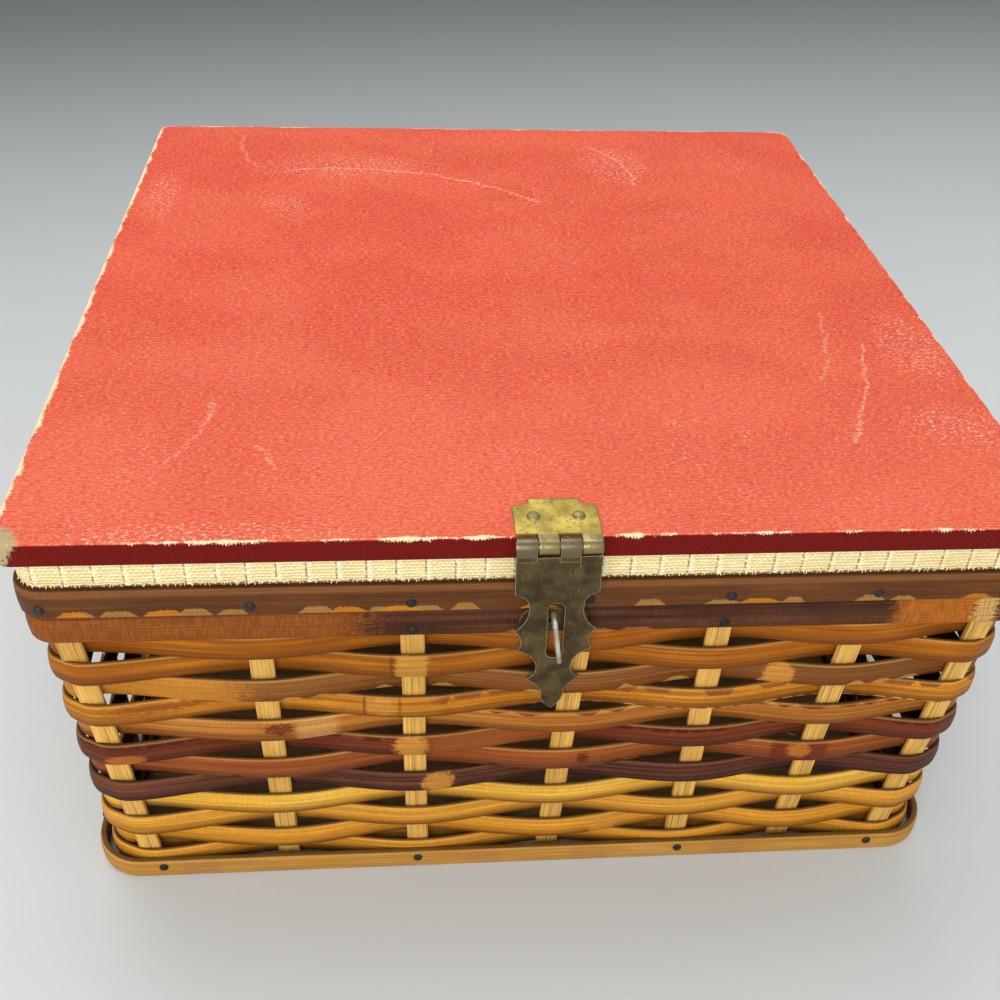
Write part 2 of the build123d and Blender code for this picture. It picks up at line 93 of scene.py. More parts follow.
class Body(Enum):
    """Moving bodies of the box."""

    BASKET = "basket"
    LID = "lid"
    FLAP = "hasp_flap"
    STAPLE = "turn_staple"


class Edge(Enum):
    """Which long edge of a strip a mark grows from."""

    UPPER = 1.0
    LOWER = -1.0


def paint(tone: Tone | Socket) -> Given:
    """Turn a tone as seen on a screen into Blender's linear colour.

    Args:
        tone: red, green and blue from 0 to 255, or a socket, which stays as it is.

    Returns:
        The linear colour with full alpha, or the socket.
    """
    if isinstance(tone, Socket):
        return tone
    steps = [channel / 255 for channel in tone]
    linear = [s / 12.92 if s <= 0.04045 else ((s + 0.055) / 1.055) ** 2.4 for s in steps]
    return (*linear, 1.0)


class Graph:
    """A node tree with short ways to add nodes to it."""

    def __init__(self, tree: Tree) -> None:
        """Keep the tree that the nodes go into."""
        self.tree = tree

    def feed(self, socket: Socket, value: Given) -> None:
        """Link a socket to another one, or set its value.

        Args:
            socket: the input to feed.
            value: an output socket, a number or a tuple.
        """
        if isinstance(value, Socket):
            self.tree.links.new(value, socket)
        else:
            socket.default_value = value

    def add(self, kind: str, inputs: dict[str | int, Given] | None = None, **settings: object) -> Node:
        """Add a node.

        Args:
            kind: Blender's name of the node type.
            inputs: values or sockets by input name or place.
            **settings: the node's own properties.

        Returns:
            The new node.
        """
        node = self.tree.nodes.new(kind)
        for name, value in settings.items():
            setattr(node, name, value)
        for key, value in (inputs or {}).items():
            self.feed(node.inputs[key], value)
        return node

    def math(self, operation: str, *values: Given, clamp: bool = False) -> Socket:
        """Work out one sum, kept from 0 to 1 where it is clamped."""
        inputs = dict(enumerate(values))
        return self.add("ShaderNodeMath", inputs, operation=operation, use_clamp=clamp).outputs[0]

    def times(self, *values: Given, clamp: bool = False) -> Socket:
        """Multiply two numbers."""
        return self.math("MULTIPLY", *values, clamp=clamp)

    def plus(self, *values: Given) -> Socket:
        """Add two numbers."""
        return self.math("ADD", *values)

    def minus(self, *values: Given, clamp: bool = False) -> Socket:
        """Take the second number from the first."""
        return self.math("SUBTRACT", *values, clamp=clamp)

    def over(self, *values: Given) -> Socket:
        """Divide the first number by the second."""
        return self.math("DIVIDE", *values)

    def times_plus(self, *values: Given) -> Socket:
        """Multiply two numbers and add a third."""
        return self.math("MULTIPLY_ADD", *values)

    def vector(self, x: Given, y: Given, z: Given) -> Socket:
        """Join three numbers into a vector socket."""
        return self.add("ShaderNodeCombineXYZ", {0: x, 1: y, 2: z}).outputs[0]

    def parts(self, vector: Given) -> tuple[Socket, ...]:
        """Split a vector into its three number sockets."""
        return tuple(self.add("ShaderNodeSeparateXYZ", {0: vector}).outputs)

    def dot(self, first: Given, second: Given) -> Socket:
        """Dot product of two vectors."""
        node = self.add("ShaderNodeVectorMath", {0: first, 1: second}, operation="DOT_PRODUCT")
        return node.outputs["Value"]

    def object_place(self) -> Socket:
        """Place on the object in metres."""
        return self.add("ShaderNodeTexCoord").outputs["Object"]

    def strip_place(self) -> tuple[Socket, ...]:
        """Run along a strip and place across it in millimetres, and a third number of 0."""
        return self.parts(self.add("ShaderNodeUVMap", uv_map=STRIP_MAP).outputs[0])

    def carried(self, name: str) -> Socket:
        """Number that a mesh carries under a name."""
        return self.add("ShaderNodeAttribute", attribute_name=name).outputs["Fac"]

    def moved(self, vector: Given, by: Given) -> Socket:
        """Add a number or a vector to a vector."""
        return self.add("ShaderNodeVectorMath", {0: vector, 1: by}, operation="ADD").outputs[0]

    def scaled(self, vector: Given, by: Numbers, shift: Given = (0, 0, 0)) -> Socket:
        """Multiply a vector part by part and move it by the shift."""
        inputs = {0: vector, 1: by, 2: shift}
        return self.add("ShaderNodeVectorMath", inputs, operation="MULTIPLY_ADD").outputs[0]

    def noise(self, vector: Given, scale: Given, detail: float = 3, rough: float = 0.5) -> Socket:
        """Read noise from 0 to 1 at a place, with its frequency, octaves and how much fine ones count."""
        inputs = {"Vector": vector, "Scale": scale, "Detail": detail, "Roughness": rough}
        return self.add("ShaderNodeTexNoise", inputs).outputs[0]

    def smooth(self, value: Given, low: Given, high: Given, start: Given = 0.0, end: Given = 1.0) -> Socket:
        """Ease from start to end while the value goes from low to high."""
        inputs = {0: value, 1: low, 2: high, 3: start, 4: end}
        return self.add("ShaderNodeMapRange", inputs, interpolation_type="SMOOTHSTEP").outputs[0]

    def mix(self, share: Given, first: Given, second: Given, how: str = "MIX") -> Socket:
        """Mix a share of the second colour or tone into the first."""
        inputs = {0: share, 6: paint(first), 7: paint(second)}
        return self.add("ShaderNodeMix", inputs, data_type="RGBA", blend_type=how).outputs[2]

    def tint(self, colour: Given, mask: Given, strength: float, tone: Tone) -> Socket:
        """Lay a tone over a colour where a mask is, as strongly as given."""
        return self.mix(self.times(mask, strength), colour, tone)

    def shaded(self, colour: Given, shade: Given) -> Socket:
        """Multiply a colour by a number."""
        return self.mix(1.0, colour, self.vector(shade, shade, shade), "MULTIPLY")


class Effect:
    """A shader effect that several finishes share, kept as one node group."""

    name = ""
    inputs: dict[str, float | Point] = {}
    outputs: tuple[str, ...] = ("Mask",)

    def build(self, graph: Graph, given: Sockets) -> Results:
        """Make the effect's nodes.

        Args:
            graph: the group's own tree.
            given: the group's inputs by name.

        Returns:
            What feeds each output, in order.
        """
        raise NotImplementedError

    def group(self) -> Tree:
        """Find the effect's node group, or build it the first time.

        Returns:
            The group's tree.
        """
        found = bpy.data.node_groups.get(self.name)
        if found is not None:
            return found
        tree = bpy.data.node_groups.new(self.name, "ShaderNodeTree")
        for name, value in self.inputs.items():
            kind = "NodeSocketFloat" if isinstance(value, float) else "NodeSocketVector"
            socket = tree.interface.new_socket(name=name, in_out="INPUT", socket_type=kind)
            socket.default_value = value
        for name in self.outputs:
            tree.interface.new_socket(name=name, in_out="OUTPUT", socket_type="NodeSocketFloat")
        graph = Graph(tree)
        entry = graph.add("NodeGroupInput")
        made = self.build(graph, {name: entry.outputs[name] for name in self.inputs})
        graph.add("NodeGroupOutput", dict(zip(self.outputs, made)))
        return tree

    def place(self, graph: Graph, **values: Given) -> Sockets:
        """Put the effect into a material.

        Args:
            graph: the material's tree.
            **values: inputs by name, with _ for a space.

        Returns:
            The effect's outputs by name.
        """
        node = graph.add("ShaderNodeGroup", node_tree=self.group())
        for name, value in values.items():
            graph.feed(node.inputs[name.replace("_", " ")], value)
        return {name: node.outputs[name] for name in self.outputs}


class CaneGrain(Effect):
    """Lengthwise ridges, crosswise ticks, fine fibres and slow blotches of split cane."""

    name = "Cane Grain"
    inputs = {"Run": 0.0, "Across": 0.0, "Seed": 0.0, "Ridge Pitch": 1.2, "Tick Pitch": 0.5}
    outputs = ("Ridges", "Ticks", "Fibres", "Blotches", "Height")

    def build(self, graph: Graph, given: Sockets) -> Results:
        """Make the effect's nodes from noise stretched along or across the strip.

        Args:
            graph: the group's own tree.
            given: the group's inputs by name.

        Returns:
            What feeds each output, in order.
        """
        run, across, seed = given["Run"], given["Across"], given["Seed"]
        wander = graph.noise(graph.vector(graph.times(run, 0.02), 0.0, seed), 1.0, 1)
        level = graph.plus(across, graph.times(wander, 2.0))
        ridge_level = graph.over(level, given["Ridge Pitch"])
        ridges = graph.noise(graph.vector(graph.times(run, 0.006), ridge_level, seed), 1.0, 2, 0.6)
        tick_run = graph.over(run, given["Tick Pitch"])
        ticks = graph.noise(graph.vector(tick_run, graph.times(across, 0.22), seed), 1.0, 1)
        fibre_run = graph.times(run, 0.035)
        fibres = graph.noise(graph.vector(fibre_run, graph.times(level, 4.5), seed), 1.0, 2, 0.6)
        blotch_level = graph.times(across, 0.11)
        blotches = graph.noise(graph.vector(graph.times(run, 0.035), blotch_level, seed), 1.0, 3, 0.55)
        ridges = graph.smooth(ridges, 0.36, 0.64)
        ticks = graph.smooth(ticks, 0.38, 0.62)
        fibres = graph.smooth(fibres, 0.32, 0.68)
        blotches = graph.smooth(blotches, 0.34, 0.66)
        height = graph.times_plus(ridges, 0.5, graph.times(fibres, 0.35))
        height = graph.times_plus(ticks, 0.15, height)
        return ridges, ticks, fibres, blotches, height


class StripMark(Effect):
    """A patch at one place of a strip, round or reaching over its whole width."""

    name = "Strip Mark"
    inputs = {
        "Run": 0.0, "Across": 0.0, "Middle": 0.0, "Half Length": 5.0, "Level": 0.0, "Half Width": 20.0,
        "Raggedness": 0.3, "Softness": 0.45,
    }

    def build(self, graph: Graph, given: Sockets) -> Results:
        """Make the effect's nodes from the distance to the patch's middle.

        Args:
            graph: the group's own tree.
            given: the group's inputs by name.

        Returns:
            What feeds each output, in order.
        """
        along = graph.over(graph.minus(given["Run"], given["Middle"]), given["Half Length"])
        over = graph.over(graph.minus(given["Across"], given["Level"]), given["Half Width"])
        squares = graph.plus(graph.math("POWER", along, 2.0), graph.math("POWER", over, 2.0))
        reach = graph.math("SQRT", squares)
        size = graph.math("MINIMUM", given["Half Length"], given["Half Width"])
        margin = graph.times(graph.minus(1.0, reach), size)
        spot = graph.vector(graph.times(given["Run"], 0.5), graph.times(given["Across"], 1.6), 0.0)
        uneven = graph.times(graph.minus(graph.noise(spot, 1.0, 3, 0.6), 0.5), given["Raggedness"])
        margin = graph.times_plus(uneven, 15.0, margin)
        return (graph.smooth(margin, graph.times(given["Softness"], -1.0), given["Softness"]),)


class EdgeTeeth(Effect):
    """Broken row of triangles and flat-topped teeth that grows from one edge of a strip."""

    name = "Edge Teeth"
    inputs = {
        "Run": 0.0, "Across": 0.0, "Side": 1.0, "Half Width": 4.0, "Pitch": 8.0, "Depth": 2.5,
        "Presence": 0.6, "Flatness": 1.6, "Seed": 0.0,
    }

    def build(self, graph: Graph, given: Sockets) -> Results:
        """Make the effect's nodes from a triangle wave whose teeth have their own heights.

        Args:
            graph: the group's own tree.
            given: the group's inputs by name.

        Returns:
            What feeds each output, in order.
        """
        place = graph.over(given["Run"], given["Pitch"])
        sway = graph.noise(graph.vector(graph.times(place, 0.6), 0.0, given["Seed"]), 1.0, 2)
        place = graph.plus(place, graph.times(sway, 1.3))
        tooth = graph.math("FLOOR", place)
        share = graph.minus(place, tooth)
        wave = graph.minus(1.0, graph.math("ABSOLUTE", graph.times_plus(share, 2.0, -1.0)))
        wave = graph.times(wave, given["Flatness"], clamp=True)
        chance = graph.add("ShaderNodeTexWhiteNoise", {0: graph.vector(tooth, given["Seed"], 0.5)}).outputs[0]
        there = graph.math("LESS_THAN", chance, given["Presence"])
        size = graph.times_plus(chance, 0.6, 0.55)
        rise = graph.times(graph.times(wave, given["Depth"]), graph.times(there, size))
        fine = graph.noise(graph.vector(graph.times(given["Run"], 1.5), 0.0, given["Seed"]), 1.0, 2)
        rise = graph.times(rise, graph.times_plus(fine, 0.7, 0.65))
        inward = graph.minus(given["Half Width"], graph.times(given["Across"], given["Side"]))
        return (graph.smooth(graph.minus(rise, inward), -0.12, 0.12),)


class EdgeWear(Effect):
    """Rubbed outer edges of a metal piece, broken up by noise."""

    name = "Edge Wear"
    inputs = {"Radius": 0.0004, "Spread": 1.0, "Vector": (0.0, 0.0, 0.0)}

    def build(self, graph: Graph, given: Sockets) -> Results:
        """Make the effect's nodes from the angle between the face and a rounded copy of it.

        Args:
            graph: the group's own tree.
            given: the group's inputs by name.

        Returns:
            What feeds each output, in order.
        """
        rounded = graph.add("ShaderNodeBevel", {"Radius": given["Radius"]}, samples=6).outputs[0]
        true = graph.add("ShaderNodeNewGeometry").outputs["Normal"]
        facing = graph.dot(rounded, true)
        turned = graph.minus(1.0, facing)
        uneven = graph.times_plus(graph.noise(given["Vector"], 900.0, 3), 0.9, 0.55)
        worn = graph.times(graph.times(turned, given["Spread"]), uneven)
        return (graph.smooth(worn, 0.02, 0.11),)


class Threads(Effect):
    """Over and under of two sets of threads, with uneven thickness."""

    name = "Threads"
    inputs = {
        "Across": 0.0, "Along": 0.0, "Warp Pitch": 0.5, "Weft Pitch": 0.5, "Unevenness": 0.5, "Seed": 0.0,
    }
    outputs = ("Weft", "Warp", "Height", "Slubs")

    def build(self, graph: Graph, given: Sockets) -> Results:
        """Make the effect's nodes from two waves that are bent by slow noise.

        Args:
            graph: the group's own tree.
            given: the group's inputs by name.

        Returns:
            What feeds each output, in order.
        """
        across, along = given["Across"], given["Along"]
        slow = graph.noise(graph.vector(across, along, given["Seed"]), 0.35, 3, 0.6)
        bend = graph.times(graph.minus(slow, 0.5), given["Unevenness"])
        weft_turn = graph.over(graph.plus(along, bend), given["Weft Pitch"])
        warp_turn = graph.over(graph.plus(across, bend), given["Warp Pitch"])
        weft = graph.times_plus(graph.math("SINE", graph.times(weft_turn, 2 * pi)), 0.5, 0.5)
        half = graph.times(graph.math("FLOOR", weft_turn), pi)
        warp_angle = graph.plus(graph.times(warp_turn, 2 * pi), half)
        warp = graph.times_plus(graph.math("SINE", warp_angle), 0.5, 0.5)
        slub_place = graph.vector(graph.times(across, 0.22), graph.times(along, 1.6), given["Seed"])
        slubs = graph.smooth(graph.noise(slub_place, 1.0, 3, 0.65), 0.35, 0.68)
        height = graph.times_plus(weft, 0.55, graph.times(warp, 0.3))
        height = graph.times_plus(slubs, 0.3, height)
        return weft, warp, height, slubs


class Speckle(Effect):
    """Small spots such as dust, scuffs and worn-through points."""

    name = "Speckle"
    inputs = {"Vector": (0.0, 0.0, 0.0), "Scale": 500.0, "Amount": 0.3, "Seed": 0.0}

    def build(self, graph: Graph, given: Sockets) -> Results:
        """Make the effect's nodes from the peaks of fine noise that slow noise gathers.

        Args:
            graph: the group's own tree.
            given: the group's inputs by name.

        Returns:
            What feeds each output, in order.
        """
        moved = graph.moved(given["Vector"], given["Seed"])
        fine = graph.noise(moved, given["Scale"], 3, 0.65)
        gathered = graph.noise(moved, graph.times(given["Scale"], 0.09), 3, 0.6)
        level = graph.times_plus(gathered, 0.45, graph.times(fine, 0.55))
        low = graph.minus(0.72, graph.times(given["Amount"], 0.3))
        return (graph.smooth(level, low, graph.plus(low, 0.06)),)


class Patina(Effect):
    """Clouds, dark spots and fine scratches of old metal."""

    name = "Patina"
    inputs = {"Vector": (0.0, 0.0, 0.0), "Seed": 0.0}
    outputs = ("Clouds", "Spots", "Scratches")

    def build(self, graph: Graph, given: Sockets) -> Results:
        """Make the effect's nodes from noise at three scales.

        Args:
            graph: the group's own tree.
            given: the group's inputs by name.

        Returns:
            What feeds each output, in order.
        """
        moved = graph.moved(given["Vector"], given["Seed"])
        clouds = graph.smooth(graph.noise(moved, 160.0, 5, 0.62), 0.34, 0.66)
        spots = graph.smooth(graph.noise(moved, 900.0, 4, 0.7), 0.56, 0.68)
        scratch_place = graph.scaled(moved, (2400.0, 260.0, 300.0))
        scratches = graph.smooth(graph.noise(scratch_place, 1.0, 2, 0.5), 0.62, 0.72)
        return clouds, spots, scratches


class Surface(Graph):
    """The node tree of a new material, with its shader and output."""

    def __init__(self, name: str) -> None:
        """Start the material.

        Args:
            name: the material's name.
        """
        self.material = bpy.data.materials.new(name)
        self.material.use_nodes = True
        self.material.node_tree.nodes.clear()
        super().__init__(self.material.node_tree)
        self.shader = self.add("ShaderNodeBsdfPrincipled")
        self.add("ShaderNodeOutputMaterial", {"Surface": self.shader.outputs[0]})

    def finish(
        self, colour: Given, rough: Given, height: Given | None = None, depth: float = 0.0002,
        metal: Given = 0.0, gloss: float = 0.5,
    ) -> Material:
        """Feed the shader its colour, roughness, metal and bump.

        Args:
            colour: the surface's colour.
            rough: its roughness.
            height: the bump's height, if it has one.
            depth: the bump's depth in metres.
            metal: how metallic it is.
            gloss: how strongly it reflects where it isn't metal.

        Returns:
            The material.
        """
        inputs = self.shader.inputs
        self.feed(inputs["Base Color"], colour)
        self.feed(inputs["Roughness"], rough)
        self.feed(inputs["Metallic"], metal)
        if height is not None:
            bump = self.add("ShaderNodeBump", {"Height": height, "Distance": depth, "Strength": 1.0})
            self.feed(inputs["Normal"], bump.outputs[0])
        inputs["Specular IOR Level"].default_value = gloss
        return self.material


@dataclass(frozen=True)
class Patch:
    """A mark at one place of a strip."""

    tone: Tone
    middle: float
    half_length: float
    strength: float = 0.9
    level: float = 0.0
    half_width: float = 30.0
    raggedness: float = 0.3
    softness: float = 0.45

    def lay(self, graph: Graph, colour: Given, run: Given, across: Given) -> Socket:
        """Lay the mark over a colour.

        Args:
            graph: the material's graph.
            colour: the colour under the mark.
            run: the place along the strip.
            across: the place over its width.

        Returns:
            The colour with the mark.
        """
        mask = StripMark().place(
            graph, Run=run, Across=across, Middle=self.middle, Half_Length=self.half_length,
            Level=self.level, Half_Width=self.half_width, Raggedness=self.raggedness,
            Softness=self.softness,
        )["Mask"]
        return graph.tint(colour, mask, self.strength, self.tone)


@dataclass(frozen=True)
class Teeth:
    """A broken row of teeth on one edge of a strip, over part of its run."""

    tone: Tone
    edge: Edge
    pitch: float = 8.0
    depth: float = 2.4
    presence: float = 0.6
    flatness: float = 1.6
    start: float = -700.0
    end: float = 700.0
    strength: float = 0.85

    def lay(
        self, graph: Graph, colour: Given, run: Given, across: Given, half_width: float, seed: float
    ) -> Socket:
        """Lay the teeth over a colour.

        Args:
            graph: the material's graph.
            colour: the colour under the teeth.
            run: the place along the strip.
            across: the place over its width.
            half_width: half the strip's width.
            seed: the strip's own number.

        Returns:
            The colour with the teeth.
        """
        mask = EdgeTeeth().place(
            graph, Run=run, Across=across, Side=self.edge.value, Half_Width=half_width, Pitch=self.pitch,
            Depth=self.depth, Presence=self.presence, Flatness=self.flatness, Seed=seed,
        )["Mask"]
        inside = graph.smooth(run, self.start - 3, self.start + 3)
        inside = graph.times(inside, graph.smooth(run, self.end - 3, self.end + 3, 1.0, 0.0))
        share = graph.times(graph.times(mask, inside), self.strength)
        return graph.mix(share, colour, self.tone)


@dataclass(frozen=True)
class CaneFinish:
    """Finish of one strip of split cane, with a painted highlight on its upper edge, painted shade on its
    edges and back, and painted shade on its lower half where a tone for it is given.
    """

    name: str
    slot: str
    tone: Tone
    streak: Tone
    pale: Tone
    half_width: float
    seed: float
    ridges: float = 0.55
    ticks: float = 0.12
    # Painted shade laid over the lower half of the strip, as if less light reached it.
    underside: Tone | None = None
    # Painted highlight along the strip's upper edge, and how strongly it is laid on.
    rim: Tone = (232, 178, 96)
    painted_highlight_share: float = 0.45
    # Painted shade on the strip's edges and back, which darkens the inside of the box.
    shadow: Tone = (52, 28, 12)
    rough: float = 0.34
    gloss: float = 0.1
    ridge_pitch: float = 1.3
    teeth: tuple[Teeth, ...] = ()
    patches: tuple[Patch, ...] = ()

    def material(self) -> Material:
        """Build the strip's material.

        Returns:
            The material.
        """
        graph = Surface(self.name)
        run, across, _ = graph.strip_place()
        grain = CaneGrain().place(graph, Run=run, Across=across, Seed=self.seed, Ridge_Pitch=self.ridge_pitch)
        colour = graph.mix(graph.times(grain["Blotches"], 0.55), self.tone, self.pale)
        colour = graph.tint(colour, grain["Ridges"], self.ridges, self.streak)
        # Painted shade: the lower half of the strip is darkened towards the lower tone.
        if self.underside is not None:
            low = graph.smooth(across, -self.half_width * 0.95, self.half_width * 0.3, 0.85, 0.0)
            colour = graph.mix(low, colour, self.underside)
        for teeth in self.teeth:
            colour = teeth.lay(graph, colour, run, across, self.half_width, self.seed)
        for patch in self.patches:
            colour = patch.lay(graph, colour, run, across)
        colour = graph.tint(colour, grain["Ticks"], self.ticks, self.streak)
        shade = graph.smooth(grain["Fibres"], 0.0, 1.0, 0.76, 1.12)
        colour = graph.shaded(colour, shade)
        # Painted highlight: a pale line along the upper edge, as if light caught it.
        outer = graph.smooth(across, self.half_width - 1.0, self.half_width - 0.3)
        outer = graph.times(outer, graph.times_plus(grain["Fibres"], 0.5, 0.5))
        colour = graph.tint(colour, outer, self.painted_highlight_share, self.rim)
        # Painted shade on the edges and back of the strip.
        colour = graph.tint(colour, graph.carried("painted_back_shade"), 0.8, self.shadow)
        rough = graph.times_plus(grain["Blotches"], 0.16, self.rough)
        return graph.finish(colour, rough, grain["Height"], 0.00022, gloss=self.gloss)


@dataclass(frozen=True)
class StakeFinish:
    """Finish of the pale grained uprights."""

    name: str = "stake cane"
    tone: Tone = (224, 160, 66)
    dark: Tone = (146, 92, 34)
    pale: Tone = (242, 192, 100)

    def material(self) -> Material:
        """Build the uprights' material.

        Returns:
            The material.
        """
        graph = Surface(self.name)
        run, across, _ = graph.strip_place()
        place = graph.parts(graph.object_place())
        seed = graph.times(graph.plus(place[0], place[1]), 9.0)
        grain = CaneGrain().place(graph, Run=run, Across=across, Seed=seed, Ridge_Pitch=0.55, Tick_Pitch=1.4)
        colour = graph.mix(graph.times(grain["Ridges"], 0.6), self.pale, self.tone)
        lines = graph.noise(graph.vector(graph.times(run, 0.02), graph.times(across, 2.4), seed), 1.0, 3, 0.6)
        colour = graph.mix(graph.smooth(lines, 0.5, 0.72, 0.0, 0.55), colour, self.dark)
        colour = graph.tint(colour, grain["Blotches"], 0.3, self.dark)
        height = graph.minus(grain["Height"], graph.smooth(lines, 0.56, 0.72))
        return graph.finish(colour, 0.55, height, 0.00025, gloss=0.2)


@dataclass(frozen=True)
class WoodFinish:
    """Finish of a sawn wooden piece, with grain along one axis."""

    name: str
    tone: Tone
    dark: Tone
    along: int = 0
    rough: float = 0.65

    def material(self) -> Material:
        """Build the wood's material.

        Returns:
            The material.
        """
        graph = Surface(self.name)
        object_place = graph.object_place()
        place = graph.scaled(object_place, TO_MM)
        axes = graph.parts(place)
        run = axes[self.along]
        level = graph.plus(axes[1 - self.along], graph.times(axes[2], 0.8))
        grain = CaneGrain().place(graph, Run=run, Across=level, Seed=3.0, Ridge_Pitch=3.5, Tick_Pitch=2.5)
        colour = graph.mix(graph.times(grain["Ridges"], 0.55), self.tone, self.dark)
        colour = graph.tint(colour, grain["Fibres"], 0.25, self.dark)
        dust = Speckle().place(graph, Vector=object_place, Scale=260.0, Amount=0.25)["Mask"]
        colour = graph.tint(colour, dust, 0.3, self.dark)
        return graph.finish(colour, self.rough, grain["Height"], 0.0002)


@dataclass(frozen=True)
class MetalFinish:
    """Finish of old sheet metal or wire: patina, dark spots and rubbed edges."""

    name: str
    tone: Tone
    cloud: Tone
    spot: Tone
    worn: Tone
    seed: float
    metal: float = 0.75
    rough: float = 0.42
    wear: float = 1.0
    wear_radius: float = 0.0004
    spots: float = 0.6
    rolled: Pair | None = None
    rolled_tone: Tone = (128, 116, 90)

    def material(self) -> Material:
        """Build the metal's material.

        Returns:
            The material.
        """
        graph = Surface(self.name)
        place = graph.object_place()
        patina = Patina().place(graph, Vector=place, Seed=self.seed)
        worn = EdgeWear().place(graph, Radius=self.wear_radius, Spread=self.wear, Vector=place)["Mask"]
        colour = graph.mix(patina["Clouds"], self.tone, self.cloud)
        colour = graph.tint(colour, patina["Spots"], self.spots, self.spot)
        colour = graph.tint(colour, patina["Scratches"], 0.18, self.worn)
        colour = graph.mix(worn, colour, self.worn)
        rough = graph.times_plus(patina["Clouds"], 0.18, self.rough)
        shine: Given = self.metal
        if self.rolled is not None:
            _, y, z = graph.parts(graph.scaled(place, TO_MM))
            front = graph.smooth(y, self.rolled[0] - 0.4, self.rolled[0] + 0.4, 1.0, 0.0)
            roll = graph.times(front, graph.smooth(z, self.rolled[1] - 0.3, self.rolled[1] + 0.3))
            colour = graph.tint(colour, roll, 0.75, self.rolled_tone)
            rough = graph.times_plus(roll, -0.16, rough)
            shine = graph.times_plus(roll, 0.35, self.metal)
        rough = graph.minus(rough, graph.times(worn, 0.16), clamp=True)
        metal = graph.minus(shine, graph.times(patina["Spots"], 0.35), clamp=True)
        height = graph.minus(graph.times(patina["Clouds"], 0.5), patina["Spots"])
        return graph.finish(colour, rough, height, 0.00006, metal)


